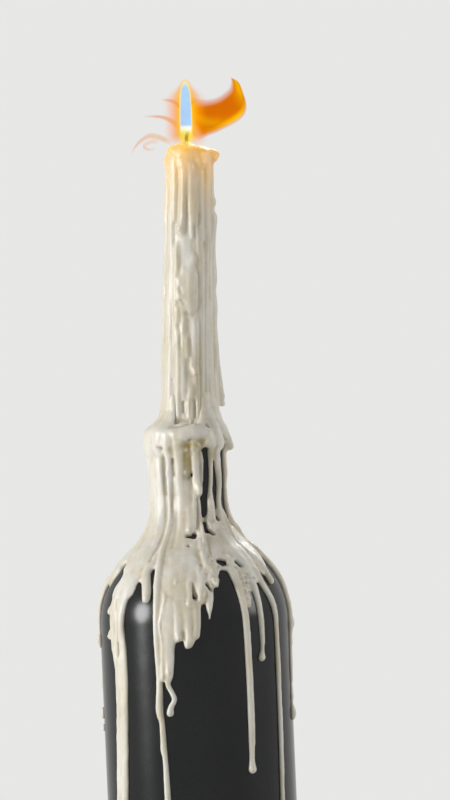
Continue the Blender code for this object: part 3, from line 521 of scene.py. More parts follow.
# %% Finer runs on the bottle
FINE_RUNS = {
    "hook": [(-36, 210, 1, 1.6), (-38, 211, 1.1, 1.9), (-36.5, 211.5, 1.1, 1.9), (-34.5, 211, 1, 1.6)],
    "tongue_wide": [(-35.5, 215, 4.4, 1.4), (-31, 207.5, 3.9, 1.9), (-30, 203.5, 2.7, 2.2)],
    "low_blob_2": [(-16, 183.5, 2.9, 1.4), (-16, 179, 2.5, 1.6), (-16.5, 174.5, 2.1, 2.1)],
    "low_blob_1": [(-19.5, 182, 2.5, 1.4), (-20, 177, 2.1, 1.6), (-20, 172.5, 1.7, 2)],
    "froth_film": [(36.5, 212, 3.9, 0.9), (36, 207, 4.4, 0.8), (36, 202.5, 3.9, 0.7),
                   (36.5, 199.5, 2.4, 0.5)],
    "arch": [(16, 215.5, 1.2, 1.4), (20, 214.5, 1.3, 1.4), (26, 214, 1.5, 1.5), (32.5, 214, 2.3, 1.6)],
    "wide_run_fill": [(-59, 209.5, 7.7, 1.2), (-54, 201.5, 6, 1.2), (-52, 193.5, 5.8, 1.3),
                      (-52, 185.5, 7.7, 1.4), (-52, 176, 8, 1.5), (-52.5, 164, 7.8, 1.5),
                      (-53.5, 150.5, 7.6, 1.5), (-55, 134.5, 7.6, 1.5), (-56.5, 120, 7.8, 1.5)],
    "bulb": [(14.5, 252.5, 1.6, 1.7), (14.5, 248.5, 2, 2.2), (15.5, 245.5, 2.6, 3.1), (16, 244, 2.2, 2.7)],
    "sheet_ridge_2": [(-11.5, 204, 0.9, 1.6), (-10.5, 201, 1, 1.9), (-8.5, 197.5, 0.9, 1.6)],
    "sheet_ridge": [(-19.5, 207.5, 0.9, 1.6), (-17.5, 204, 1.1, 1.9), (-18.5, 200, 0.9, 1.9),
                    (-20.5, 193.5, 0.8, 1.8), (-20, 188, 0.8, 1.8), (-20, 180.5, 0.9, 1.8)],
    "lobe_tip_right": [(-1.5, 191, 2, 1.6), (-2, 187, 2.8, 2.4)],
    "lobe_tip_middle": [(-4.5, 190.5, 1.6, 1.6), (-4.5, 185, 2.4, 2.6)],
    "lobe_tip_left": [(-9.5, 193, 1.6, 1.7), (-9.5, 188, 2.2, 2.5)],
    "icicle_top": [(10, 206.5, 1.2, 0.8), (10, 202.5, 3, 1.3), (9.5, 199.5, 2.6, 1.4),
                   (9.5, 197, 1.2, 1.1)],
    "lobe_bulb": [(5.5, 208.5, 2, 1.7), (5, 204, 3, 2.6)],
    "drop_mid_side": [(0.5, 203.5, 1.2, 1.6), (0.5, 200.5, 1.6, 2.4)],
    "drop_mid": [(-2, 207, 1.8, 1.4), (-2.5, 201, 2.4, 2.6)],
    "lobe_film": [(-5.5, 210, 8.7, 1.2), (-5, 204.5, 9.5, 1.5), (-5.5, 197.5, 9.1, 1.5),
                  (-5, 191.5, 8.3, 1.3)],
    "curved_edge": [(-4.5, 221, 0.7, 1.7), (0.5, 219.5, 0.8, 1.8), (4, 217.5, 0.7, 1.7)],
    "lower_bright_line": [(8.5, 222, 0.7, 2.2), (9.5, 219.5, 0.9, 2.5), (9.5, 217.5, 0.8, 2.3)],
    "small_bead": [(0.5, 231.5, 0.8, 2.3), (1, 230.5, 1, 2.6)],
    "bright_edge": [(8.5, 238.5, 0.6, 2), (7.5, 234.5, 0.7, 2.4), (6, 230.5, 0.9, 2.5)],
    "smooth_sheet": [(-60, 263.5, 11.8, 1.9), (-61, 258, 10.6, 2), (-58.5, 252, 10.2, 2.1),
                     (-58, 245.5, 10.4, 2.1), (-55.5, 237.5, 10.5, 2.1), (-52.5, 230.5, 11.6, 1.9),
                     (-48.5, 223.5, 14.2, 1.7), (-45.5, 217.5, 16.9, 1.4)],
    "slot_top_film": [(-35.5, 261.5, 2.9, 0.9), (-37, 257, 2.5, 0.6), (-36.5, 255.5, 2, 0.5)],
    "sheet_edge": [(-45, 262.5, 3.3, 1.8), (-49.5, 257, 2.8, 1.6), (-49, 250, 3, 1.7),
                   (-46.5, 242, 2.9, 1.7), (-43.5, 236, 2.7, 1.6)],
    "groove_floor": [(-37.5, 245, 3, 0.6), (-36.5, 240.5, 2.9, 0.8), (-34, 234, 3.3, 0.9),
                     (-32.5, 228.5, 3.7, 1), (-31.5, 223, 4.2, 1.1)],
    "blanket_top": [(-7.5, 252, 4.8, 0.5), (-6.5, 248, 7.1, 0.9), (-7.5, 243.5, 8.7, 1.1),
                    (-8, 238, 9.6, 1.2), (-9.5, 232, 8.8, 1.2)],
    "neck_drop": [(-28, 263, 2.5, 1.4), (-30.5, 259.5, 2.1, 1.5), (-31.5, 254.5, 2.2, 1.7),
                  (-31.5, 252, 2.6, 2.1)],
    "stained_film": [(0.5, 263, 3.5, 1), (-0.5, 259, 3.4, 0.8), (-1, 254, 3.2, 0.7), (-2, 249, 2.8, 0.6)],
    "bead": [(-2.5, 254.5, 1.3, 1.7), (-3, 252.5, 1.4, 1.8)],
    "grey_film": [(20, 261, 3.6, 0.6), (20.5, 255, 3.4, 0.6), (19.5, 249.5, 2.9, 0.5), (18, 245, 2.5, 0.4)],
    "lobe_under_bulb": [(10.5, 242.5, 2.4, 1.4), (7, 239, 3.2, 1.7), (4.5, 235, 3.4, 2),
                        (1.5, 231.5, 3.5, 2.3), (-1, 229.5, 3.5, 2.6)],
    "strip": [(15.5, 244, 1.2, 1.2), (15, 237.5, 1.6, 1.4), (13.5, 231.5, 2, 1.6), (10.5, 225.5, 2.4, 1.9),
              (9, 221.5, 2.8, 2)],
    "bright_line": [(15.5, 234, 0.7, 2.3), (14.5, 229.5, 0.8, 2.6), (13.5, 225.5, 0.9, 2.8),
                    (13.5, 223, 0.8, 2.5)],
    "slot_foot_left": [(18.5, 233.5, 0.7, 1), (16, 229.5, 1.2, 1.4)],
    "slot_foot_right": [(31.5, 240, 1.4, 1), (29.5, 235.5, 1.8, 1.5), (23.5, 230, 1.7, 1.7)],
    "frosty_blob": [(36, 233.5, 2.4, 1.7), (30, 231, 3.6, 2.3), (25, 229.5, 3.3, 2.4)],
    "small_lobe": [(9, 222, 2, 2.2), (9.5, 219.5, 2.4, 2.6), (9, 217, 1.6, 2)],
    "lower_arm": [(7, 211.5, 2.4, 1.9), (11.5, 210.5, 2.8, 2.4), (14.5, 209.5, 2.9, 2.9),
                  (15.5, 208, 2, 2.6)],
    "small_tongue": [(-10.5, 213.5, 1.6, 1.7), (-10.5, 209, 1.6, 2.1)],
    "front_lip": [(-30.5, 267, 4.6, 1.5), (-18, 267, 5.8, 2.1), (-3.5, 267.5, 6.3, 2.4),
                  (11, 268.5, 7.2, 2.7), (24.5, 267.5, 6.5, 2.5), (38, 266, 5.5, 2.1)],
    "lobe_a": [(32.5, 270, 3.7, 1.8), (33.5, 267.5, 4.7, 2.7), (33, 264, 4.2, 2.6)],
    "lobe_b": [(46, 270, 4.5, 1.9), (51, 266.5, 5.7, 2.8), (53, 263.5, 5.3, 2.7)],
    "left_bulge": [(-34, 267, 3.8, 2.3), (-32.5, 264.5, 4.2, 2.4)],
    "scallop_1": [(0.5, 263.5, 2, 1.5), (0, 261.5, 1.7, 1.7)],
    "scallop_2": [(9, 264, 2, 1.5), (9, 261.5, 1.8, 1.8)],
    "scallop_3": [(18, 264.5, 2.1, 1.6), (18, 262, 1.7, 1.8)],
    "scallop_4": [(25, 265, 1.3, 1.5), (24.5, 262.5, 1.3, 1.7)],
    "inner_ridge": [(58.5, 238, 1.5, 1.8), (57, 231, 1.6, 1.9), (53.5, 224.5, 1.6, 1.9),
                    (54.5, 219.5, 1.8, 1.8)],
    "blanket_ridge_1": [(-13, 242, 0.6, 1.5), (-12, 232, 0.7, 1.5)],
    "ragged_1": [(20.5, 222.5, 2.1, 1.7), (17.5, 217.5, 2.5, 1.9), (14.5, 213, 2, 1.8)],
    "ragged_2": [(20, 215, 1.3, 1.5), (17.5, 212, 1.1, 1.6)],
}
print(len(FINE_RUNS), "finer runs on the bottle")

# %% Finer runs on the candle
CANDLE_FINE_RUNS = {
    "crown_left": [(-61, 106.5, 6.5, 1.1), (-65.5, 104, 5.5, 0.9)],
    "crown_front": [(-17.5, 107, 5.7, 0.7), (-15, 103, 4.2, 0.8)],
    "crown_right": [(31, 107, 4.7, 0.9), (33.5, 103.5, 3.3, 0.8)],
    "crown_far_right": [(53, 107, 4.5, 0.9), (53, 104, 3.8, 1)],
    "knob_round": [(57.5, 109, 1.6, 1.4), (79.5, 109, 3.4, 2.9), (87.5, 108, 3.6, 3.5),
                   (87.5, 106.5, 2.9, 3.2), (80.5, 105.5, 2.5, 2.6)],
    "pink_ridge": [(-45, 105.5, 2.6, 0.8), (-43, 94, 2.5, 0.9), (-40, 82.5, 2.4, 0.9)],
    "orange_ridge": [(-14, 99.5, 2.8, 0.9), (-14.5, 94, 2.4, 1), (-15, 84.5, 2, 1.1),
                     (-18.5, 80.5, 2.4, 1.3), (-22, 78, 3.4, 1.5)],
    "light_ridge": [(3.5, 105, 1.8, 0.8), (5, 94, 1.7, 0.9), (6, 82, 1.6, 0.9), (8, 75, 1.6, 0.8)],
    "drifting": [(14, 80.5, 1, 1), (18.5, 75, 1, 0.9), (24, 69.5, 1.2, 0.9), (28.5, 63, 1.5, 0.9)],
    "beige_band": [(15.5, 101, 2.4, 0.8), (15, 90, 2.4, 0.9), (13.5, 81, 1.9, 1)],
    "band_2": [(30.5, 101.5, 2.1, 0.8), (30, 88, 2.1, 0.8), (32, 74, 2.1, 0.8)],
    "band_3": [(49, 103.5, 2, 0.8), (46.5, 90, 1.9, 0.8), (46.5, 76, 1.9, 0.8)],
    "lumps": [(5.5, 69, 1.8, 0.9), (10, 67, 2.8, 1.1), (10, 65, 2.3, 1)],
    "nib_left": [(-87.5, 82.5, 3.8, 1.4), (-87.5, 81, 4.4, 1.8)],
    "nib_left_2": [(-87.5, 98.5, 3.8, 1.1), (-87.5, 97, 3.8, 1.4)],
    "beige_ridge": [(-32.5, 72.5, 2.1, 0.8), (-32, 67, 2.2, 0.9), (-32, 62, 2.4, 0.9)],
    "patch": [(-25.5, 60.5, 4, 0.7), (-23, 55.5, 3.9, 0.8), (-23, 51, 3.4, 0.9)],
    "long_drop": [(1.5, 64, 3.6, 0.9), (3.5, 58.5, 4.1, 1.1), (4.5, 51, 4.3, 1.2), (5, 46, 3.6, 1.1)],
    "drop_edge": [(13.5, 62.5, 1.1, 1.2), (15.5, 54.5, 1.2, 1.3), (14, 47, 1.1, 1.2)],
    "beige_wide": [(-28.5, 49, 3.6, 0.9), (-27.5, 45.5, 3.6, 0.9), (-27.5, 42, 3.1, 0.9)],
    "beige_long": [(-27, 39.5, 1.8, 0.9), (-26, 30.5, 2.2, 1), (-24.5, 19.5, 2.3, 1), (-25, 12, 2.1, 1),
                   (-23.5, 4.5, 2.3, 1.2)],
    "mid_light": [(-14, 48.5, 1.9, 0.9), (-13, 42.5, 1.9, 0.9), (-13.5, 34.5, 1.9, 0.8)],
    "mid_light_2": [(-14.5, 30, 1.6, 0.8), (-13.5, 22, 1.7, 0.8), (-13, 14, 1.8, 0.9)],
    "mid_ridge": [(-4, 37, 1.2, 0.9), (-4, 32.5, 1.3, 0.9), (-4, 28, 1.3, 0.9)],
    "brown_ridge": [(8.5, 43.5, 2.1, 1.2), (13, 40.5, 1.5, 1.1), (15, 32.5, 1.5, 1), (16.5, 21, 1.7, 1),
                    (19, 11, 1.7, 1.1), (19.5, 3.5, 1.7, 1.1)],
    "fleck": [(10.5, 25, 1.4, 1.4), (11.5, 21.5, 1.6, 2.3)],
    "lump_low": [(3.5, 17.5, 2.3, 0.9), (5.5, 15, 2.7, 1), (2.5, 12, 2.5, 1.1)],
    "recess_middle": [(0, 12, 1.5, 1.1), (0, 7, 1.6, 1.2), (0.5, 4, 1.6, 1.1)],
    "ridge_a": [(32, 68, 1.9, 0.9), (31, 50.5, 1.9, 0.9), (30.5, 30.5, 2, 1), (30, 2.5, 2.1, 1.1)],
    "ridge_b": [(44.5, 70, 1.8, 0.8), (43, 50.5, 1.7, 0.9), (42, 27, 1.8, 0.9), (40.5, 2.5, 1.9, 1)],
    "ridge_c": [(62, 74, 2.9, 0.8), (59.5, 50.5, 2.9, 0.9), (58.5, 27, 3.1, 1), (59, 10, 3.5, 1.1)],
    "oblique": [(-58.5, 30.5, 2.6, 0.9), (-73.5, 28.5, 5.7, 1.2), (-87.5, 26.5, 5.2, 1.1)],
    "bead_1": [(54, 7.5, 2, 1.7), (54.5, 6, 2.2, 1.8)],
    "bead_2": [(46, 4, 1.8, 1.7), (46, 2.5, 1.9, 1.8)],
}
print(len(CANDLE_FINE_RUNS), "finer runs on the candle")

# %% Creases and holes
# Each is (width, depth, line of (angle, height) points); a deep one reaches the glass.
CREASES = [
    (0.9, 1.3, [(44.5, 210)]),
    (1.6, 3.6, [(3, 227), (4.5, 227.5)]),
    (1, 2.6, [(4.5, 252), (3, 250.5)]),
    (0.9, 2, [(-52, 187), (-52, 182.5)]),
    (1.1, 3, [(43.5, 242), (43.5, 237.5), (41.5, 233.5)]),
    (0.9, 2.6, [(9, 208.5), (10.5, 207), (12.5, 206)]),
    (0.7, 1.2, [(-22.5, 258), (-22, 254.5), (-21.5, 251.5)]),
    (1.3, 1, [(-39, 258.5), (-38.5, 254), (-38, 249), (-37, 244.5)]),
    (1.3, 0.5, [(-37, 243), (-35, 238), (-34, 232.5), (-33.5, 227), (-33.5, 222.5), (-34, 218)]),
    (0.7, 0.9, [(3.5, 265), (8, 266), (15.5, 266.5), (24.5, 266.5)]),
    (0.8, 1.2, [(33, 270.5), (36.5, 268), (42.5, 265.5), (47, 262.5)]),
    (0.8, 1, [(58, 271), (60.5, 268), (73.5, 264.5)]),
    (1.4, 1.8, [(-44, 263), (-39.5, 262.5)]),
    (0.6, 0.8, [(12.5, 242), (11.5, 236.5), (8, 230)]),
    (0.9, 3.6, [(-4, 227), (0, 227), (4, 226.5)]),
    (0.9, 4, [(20, 229.5), (22, 228.5), (26.5, 227.5)]),
    (1.1, 1.6, [(-2.5, 223)]),
    (1.7, 4.5, [(21.5, 217), (24, 216.5)]),
    (1.4, 1.8, [(35.5, 216.5), (37.5, 215)]),
    (0.9, 4, [(23, 241.5), (21.5, 236.5), (20, 232.5), (19, 228.5)]),
    (0.8, 1.2, [(25.5, 215.5), (32.5, 214)]),
    (1.3, 2.6, [(0, 208.5), (0.5, 206), (1, 203.5)]),
    (1.2, 0.4, [(-6, 190.5), (-6, 187.5)]),
    (2, 4, [(-63, 216.5), (-63.5, 215)]),
    (4.1, 4.6, [(-63.5, 212.5), (-67, 209.5), (-68, 206.5), (-69, 203.5)]),
    (1.2, 0.5, [(-53.5, 203.5), (-52, 195.5), (-53, 182)]),
    (2.2, 0.3, [(-20.5, 243.5), (-19.5, 232), (-18.5, 223)]),
    (0.6, 0.2, [(-3.5, 237.5), (-3.5, 232.5)]),
    (1.3, 0.9, [(7, 215.5), (6, 212.5)]),
    (0.9, 0.9, [(11.5, 221), (12.5, 217.5), (12, 213.5)]),
]
CANDLE_CREASES = [
    (1.1, 0.3, [(59.5, 105.5), (61, 101)]),
    (0.7, 0.3, [(42.5, 99.5), (43.5, 94)]),
    (0.9, 0.3, [(-25.5, 91.5), (-25.5, 81)]),
    (0.9, 0.3, [(-4.5, 91.5), (-5.5, 77)]),
    (1.3, 0.5, [(12.5, 79), (15, 71)]),
    (0.9, 0.3, [(-1, 74), (1.5, 67)]),
    (1.7, 0.4, [(-69.5, 56), (-67.5, 53)]),
    (1.4, 0.4, [(-22, 55), (-19.5, 53.5)]),
    (1.5, 0.4, [(-17, 50), (-13, 49)]),
    (1.9, 0.5, [(-5, 45), (7.5, 44.5)]),
    (0.8, 0.3, [(52.5, 74), (50, 50.5)]),
    (0.9, 0.3, [(24.5, 50.5), (24, 3)]),
    (0.8, 0.3, [(38, 65.5), (35, 3)]),
    (1, 0.4, [(-33, 32.5), (-31.5, 3)]),
    (1, 0.3, [(-37.5, 19), (-36, 19)]),
    (1.5, 1.4, [(-12, 10), (-10.5, 6.5)]),
    (1.3, 1.4, [(10.5, 10.5), (11, 4.5)]),
    (1.3, 1.2, [(-17, 3), (-1, 2.5)]),
    (1.4, 0.3, [(1.5, 34.5), (5.5, 28.5)]),
    (1, 0.3, [(-19.5, 36), (-19, 31.5)]),
    (1, 0.3, [(-7, 27), (-5.5, 18)]),
]
print(len(CREASES), "creases on the bottle's wax and", len(CANDLE_CREASES), "on the candle")

# %% Stains, films and froth, with painted shade and painted warm light among them
# Each is (angle, height, width, length, strength).
STAINS = [
    (9, 263, 12, 3.9, 1.0),
    (-0.5, 257.5, 4.3, 11, 0.85),
    (21, 264.5, 4.2, 3.5, 0.9),
    (40.5, 259.5, 3.6, 4.7, 0.5),
    (-25.5, 262, 2.6, 2.4, 0.5),
    (18, 260.5, 3.3, 6.3, 0.6),
]
# Thin films where the dark glass shows through, and painted shade: some of these darken hollows and slots
# where shade falls.
THIN_FILMS_AND_SHADE = [
    (-38, 250.5, 2.5, 17.3, 0.6),
    (-36, 237.5, 1.9, 13.4, 0.35),
    (-0.5, 253.5, 3.2, 9.5, 0.45),
    (0, 250.5, 3.5, 3.2, 0.6),
    (-20, 237, 2.1, 23.6, 0.28),
    (20.5, 253.5, 2.1, 15.8, 0.75),
    (10.5, 236, 1, 13.4, 0.5),
    (18.5, 232.5, 1.2, 8.7, 0.5),
    (39.5, 258.5, 2.6, 6.3, 0.45),
    (-9.5, 265, 12, 2, 0.12),
    (0.5, 207, 2, 5.5, 0.4),
    (-12.5, 206.5, 2, 10.2, 0.25),
    (-8.5, 196.5, 1.6, 7.9, 0.2),
]
# Stains on the candle: partly the wax's own beige tone and partly painted warm light on ridges that catch the
# flame's light.
CANDLE_STAINS_AND_WARM_LIGHT = [
    (56, 5.5, 4.9, 5.5, 0.5),
    (-24, 17, 2.2, 27.6, 0.34),
    (17, 19, 1.6, 31.5, 0.34),
    (0, 8.5, 2, 6.3, 0.4),
    (2.5, 50.5, 3.5, 13.4, 0.28),
    (-27.5, 45.5, 3.6, 7.9, 0.32),
    (-16, 88, 2.5, 18.9, 0.32),
    (-21.5, 78.5, 3, 4.3, 0.4),
    (-32, 67, 2.3, 10.2, 0.3),
    (13, 86, 2, 13.4, 0.25),
    (-4, 32.5, 1.6, 8.7, 0.3),
    (3.5, 14, 2.8, 6.3, 0.25),
]
FROTH = [
    (35.5, 206, 4.8, 10.2, 0.6),
    (15.5, 215.5, 6.5, 9.5, 0.3),
    (16, 211, 4.1, 4.7, 0.4),
    (29.5, 230.5, 4.5, 3.9, 0.3),
    (38, 209, 5, 10.2, 0.3),
    (20.5, 231.5, 2.1, 8.7, 0.2),
]
print(len(STAINS) + len(CANDLE_STAINS_AND_WARM_LIGHT), "stains,", len(THIN_FILMS_AND_SHADE), "films and", len(FROTH), "places with froth")

# %% [markdown]
# ## From runs to one skin
#
# Wax that sets on wax melts into it, so there must be no seam between two runs. Sculpting would
# do it, and so would metaballs, but then a run can't be moved by changing a number. The way here:
# every run is a closed tube that follows the glass, half of it above and half of it under the
# surface, and a voxel remesh fuses all tubes into one skin. A few relaxing passes round the
# joints. Then each point of the skin knows how high it stands over the glass. By that height the
# uneven pour fades out towards the glass, points inside it are deleted, and the material lets
# thin wax look darker. Stray scraps that hang on nothing are dropped.

# %% The surface that runs follow
class Surface:
    """A turned surface that wax runs down, known by the distance travelled along its outline."""

    def __init__(self, outline):
        self.points = outline
        self.travel = [0.0]
        for a, b in zip(outline, outline[1:]):
            self.travel.append(self.travel[-1] + math.dist(a, b))

    def at(self, travel):
        """Radius and height after a distance along the outline."""
        for k in range(1, len(self.points)):
            if travel <= self.travel[k] or k == len(self.points) - 1:
                share = (travel - self.travel[k - 1]) / (self.travel[k] - self.travel[k - 1])
                a, b = self.points[k - 1], self.points[k]
                return (a[0] + (b[0] - a[0]) * share, a[1] + (b[1] - a[1]) * share)

    def travel_at(self, height):
        """Distance along the outline at a height."""
        for k in range(1, len(self.points)):
            if height >= self.points[k][1] or k == len(self.points) - 1:
                share = (self.points[k - 1][1] - height) / (self.points[k - 1][1] - self.points[k][1])
                return self.travel[k - 1] + (self.travel[k] - self.travel[k - 1]) * share

    def place(self, angle, travel, height):
        """A point in metres at a height above the surface; the angle is in radians."""
        r, z = self.at(travel)
        before, after = self.at(travel - 1.0), self.at(travel + 1.0)
        along = Vector((after[0] - before[0], after[1] - before[1])).normalized()
        r, z = r - along.y * height, z + along.x * height
        return Vector((r * math.sin(angle), -r * math.cos(angle), z)) * MM


climb = [(10.8, 300.0), (10.8, BOTTLE_HEIGHT + 7), (12.0, BOTTLE_HEIGHT + 2.5),
         (LIP_RADIUS, BOTTLE_HEIGHT - 1.5), (LIP_RADIUS, BOTTLE_HEIGHT - LIP_DEPTH + 0.5),
         (NECK_RADIUS, BOTTLE_HEIGHT - LIP_DEPTH - 2.5)]
bottle_surface = Surface(climb + shoulder_line + [(BODY_RADIUS, HEEL_ROUND)])
candle_surface = Surface([(CANDLE_TOP_RADIUS, CANDLE_TOP), (CANDLE_FOOT_RADIUS, 0.0)])
print("a run from the lip to the foot is", round(bottle_surface.travel[-1]), "mm long")

# %% A smooth line through stations
RUN_STEP = 0.9


def curve(keys, steps_between):
    """Catmull-Rom curve through vectors, with steps_between(here, ahead) steps from one to the next."""
    keys = [keys[0] * 2 - keys[1]] + keys + [keys[-1] * 2 - keys[-2]]
    line = []
    for a, b, c, d in zip(keys, keys[1:], keys[2:], keys[3:]):
        steps = steps_between(b, c)
        for k in range(steps):
            t = k / steps
            line.append(0.5 * (2 * b + (c - a) * t + (2 * a - 5 * b + 4 * c - d) * t * t
                               + (3 * b - a - 3 * c + d) * t ** 3))
    return line + [keys[-2]]


def smooth_path(stations, surface, step):
    """Stations as (angle, travel, width, thickness), a point about every step millimetres."""
    keys = [Vector((math.radians(a), surface.travel_at(z), w, t)) for a, z, w, t in stations]
    return curve(keys, lambda here, ahead: max(1, round(abs(ahead[1] - here[1]) / step)))


long_line = smooth_path(FRONT_RUNS["long_strand"], bottle_surface, RUN_STEP)
print(len(FRONT_RUNS["long_strand"]), "stations of the long strand give", len(long_line), "points")

# %% Ends of a run
# Rounded ends of a run: how many widths ahead, and how large the run is there.
FULL = (0.0, 1.0)
START = [(-0.45, 0.4), (-0.3, 0.75), (-0.15, 0.93), FULL]
END = [FULL, (0.15, 0.93), (0.3, 0.75), (0.42, 0.5), (0.47, 0.25)]


def thin_start(line, surface, rise):
    """Lets a run come up out of the wax above it within a distance: it starts at 0.3 of its thickness."""
    gone = 0.0
    for before, here in zip(line, line[1:]):
        if gone < rise:
            before.w *= 0.3 + 0.7 * math.sin(0.5 * math.pi * gone / rise)
            across = surface.at(here.y)[0] * (here.x - before.x)
            gone += math.hypot(across, here.y - before.y)


print("a run ends in", len(END), "rings, the last one", END[-1][0], "of its width ahead")

# %% One run of wax
RUN_SIDES = 16


def add_ring(bm, surface, station, flow, ahead, scale):
    """One ring of points across a run, some widths ahead of its station."""
    angle, travel, width, thickness = station
    radius = surface.at(travel)[0]
    forward = flow * width * ahead
    ring = []
    for side in range(RUN_SIDES):
        turn = 2 * math.pi * side / RUN_SIDES
        across = 0.5 * width * scale * math.cos(turn)
        ring.append(bm.verts.new(surface.place(
            angle + (forward.x + across * flow.y) / radius,
            travel + forward.y - across * flow.x,
            thickness * scale * math.sin(turn))))
    return ring


def add_run(bm, stations, surface, step=RUN_STEP, rise=0.0):
    """Adds one closed run of wax: half of it stands on the surface, the other half is sunk in it."""
    line = smooth_path(stations, surface, step)
    thin_start(line, surface, rise)
    rings = []
    for k, station in enumerate(line):
        before, after = line[max(k - 1, 0)], line[min(k + 1, len(line) - 1)]
        radius = surface.at(station[1])[0]
        flow = Vector((radius * (after[0] - before[0]), after[1] - before[1])).normalized()
        shapes = START if k == 0 else END if k == len(line) - 1 else [FULL]
        for ahead, scale in shapes:
            rings.append(add_ring(bm, surface, station, flow, ahead, scale))
    for upper, lower in zip(rings, rings[1:]):
        for side in range(RUN_SIDES):
            after = (side + 1) % RUN_SIDES
            bm.faces.new((upper[side], upper[after], lower[after], lower[side]))
    bm.faces.new(rings[0][::-1])
    bm.faces.new(rings[-1])


trial = bmesh.new()
add_run(trial, FRONT_RUNS["long_strand"], bottle_surface)
print("the long strand is a closed tube of", len(trial.faces), "faces")


# %% Fusing bodies
def fuse(bm, voxel):
    """Fuses the overlapping bodies of a bmesh and frees it; gives points and four-sided faces."""
    bmesh.ops.recalc_face_normals(bm, faces=bm.faces)
    mesh = bpy.data.meshes.new("bodies")
    bm.to_mesh(mesh)
    bm.free()
    piece = bpy.data.objects.new("bodies", mesh)
    scene.collection.objects.link(piece)
    skin = piece.modifiers.new("fuse", "REMESH")
    skin.mode = "VOXEL"
    skin.voxel_size = voxel * MM
    evaluated = piece.evaluated_get(bpy.context.evaluated_depsgraph_get())
    fused = evaluated.to_mesh()
    points = np.empty(len(fused.vertices) * 3, np.float32)
    fused.vertices.foreach_get("co", points)
    corners = np.empty(len(fused.loops), np.int32)
    fused.loops.foreach_get("vertex_index", corners)
    evaluated.to_mesh_clear()
    bpy.data.objects.remove(piece, do_unlink=True)
    bpy.data.meshes.remove(mesh)
    return points.reshape(-1, 3).astype(float) / MM, corners.reshape(-1, 4)


print("remeshed alone, the long strand has", len(fuse(trial, 0.5)[0]), "points")


# %% Relaxing, normals and noise
def relax(points, quads, passes, amount=0.5):
    """Moves each point towards the mean of its neighbours."""
    corner, ahead = quads.ravel(), np.roll(quads, -1, 1).ravel()
    here, there = np.concatenate([corner, ahead]), np.concatenate([ahead, corner])
    count = np.maximum(np.bincount(here, minlength=len(points)), 1)
    for _ in range(passes):
        mean = np.stack([np.bincount(here, points[there, k], len(points)) / count for k in range(3)], 1)
        points = points + (mean - points) * amount
    return points


def normals_of(points, quads):
    """Point normals of a four-sided mesh."""
    across = np.cross(points[quads[:, 2]] - points[quads[:, 0]], points[quads[:, 3]] - points[quads[:, 1]])
    total = np.stack([np.bincount(quads.ravel(), np.repeat(across[:, k], 4), len(points))
                      for k in range(3)], 1)
    return total / np.maximum(np.linalg.norm(total, axis=1, keepdims=True), 1e-12)


def cloud(points, size, seed, stretch=1.0):
    """Smooth noise from -1 to 1 at points in millimetres; stretch draws it out along Z."""
    shift = Vector((seed * 17.3, seed * 5.1, seed * 9.7))
    scale = Vector((1 / size, 1 / size, 1 / (size * stretch)))
    return np.array([noise.noise(Vector(p) * scale + shift) for p in points])


print("noise at three places:", np.round(cloud([(0, 0, 0), (0, 0, 1), (0, 0, 2)], 3.0, 1), 2))

# %% From points to an object
MASKS = ("thin", "stain", "warm", "soot", "crest")


def keep_points(points, quads, keep):
    """Keeps the largest connected part of the faces that have a wanted point, and no stray scraps."""
    quads = quads[keep[quads].any(axis=1)]
    part, before = np.arange(len(points)), np.zeros(len(points), int)
    while (part != before).any():
        before = part.copy()
        np.minimum.at(part, quads.ravel(), np.repeat(part[quads].min(axis=1), 4))
        part = part[part]
    part = part[quads[:, 0]]
    quads = quads[part == np.bincount(part).argmax()]
    used = np.zeros(len(points), bool)
    used[quads.ravel()] = True
    number = np.cumsum(used) - 1
    return used, number[quads]


def skin_object(name, points, quads, material, **masks):
    """Makes the object of a skin; each mask is kept on its points, and one that isn't given is 0."""
    mesh = bpy.data.meshes.new(name)
    mesh.vertices.add(len(points))
    mesh.vertices.foreach_set("co", (points * MM).astype(np.float32).ravel())
    mesh.loops.add(quads.size)
    mesh.loops.foreach_set("vertex_index", quads.ravel().astype(np.int32))
    mesh.polygons.add(len(quads))
    mesh.polygons.foreach_set("loop_start", np.arange(0, quads.size, 4, dtype=np.int32))
    mesh.update(calc_edges=True)
    mesh.validate()
    for key in MASKS:
        layer = mesh.attributes.new(key, "FLOAT", "POINT")
        layer.data.foreach_set("value", masks.get(key, np.zeros(len(points))).astype(np.float32))
    return new_object(name, mesh, material)


print("masks on every skin:", ", ".join(MASKS))


# %% How high a point stands over the glass
def outline_distance(outline, radius, height):
    """Signed distance in millimetres of points (radius, height) from an outline; outside is positive."""
    best = np.full(len(radius), 1e9)
    sign = np.ones(len(radius))
    for (r0, z0), (r1, z1) in zip(outline, outline[1:]):
        dr, dz = r1 - r0, z1 - z0
        share = np.clip(((radius - r0) * dr + (height - z0) * dz) / (dr * dr + dz * dz), 0, 1)
        off_r, off_z = radius - r0 - share * dr, height - z0 - share * dz
        distance = np.hypot(off_r, off_z)
        side = np.where(off_z * dr - off_r * dz >= 0, 1.0, -1.0)
        nearer = distance < best
        best = np.where(nearer, distance, best)
        sign = np.where(nearer, side, sign)
    return best * sign


glass_lip = [(BORE_RADIUS, BOTTLE_HEIGHT), (LIP_RADIUS - 1, BOTTLE_HEIGHT),
             (LIP_RADIUS - 0.3, BOTTLE_HEIGHT - 0.3), (LIP_RADIUS, BOTTLE_HEIGHT - 1),
             (LIP_RADIUS, BOTTLE_HEIGHT - LIP_DEPTH), (NECK_RADIUS, BOTTLE_HEIGHT - LIP_DEPTH - 1.2)]
glass_outline = glass_lip + shoulder_line + [(BODY_RADIUS, HEEL_ROUND)]


def over_glass(points):
    """Height of each point over the bottle's outside, in millimetres."""
    return outline_distance(glass_outline, np.hypot(points[:, 0], points[:, 1]), points[:, 2])


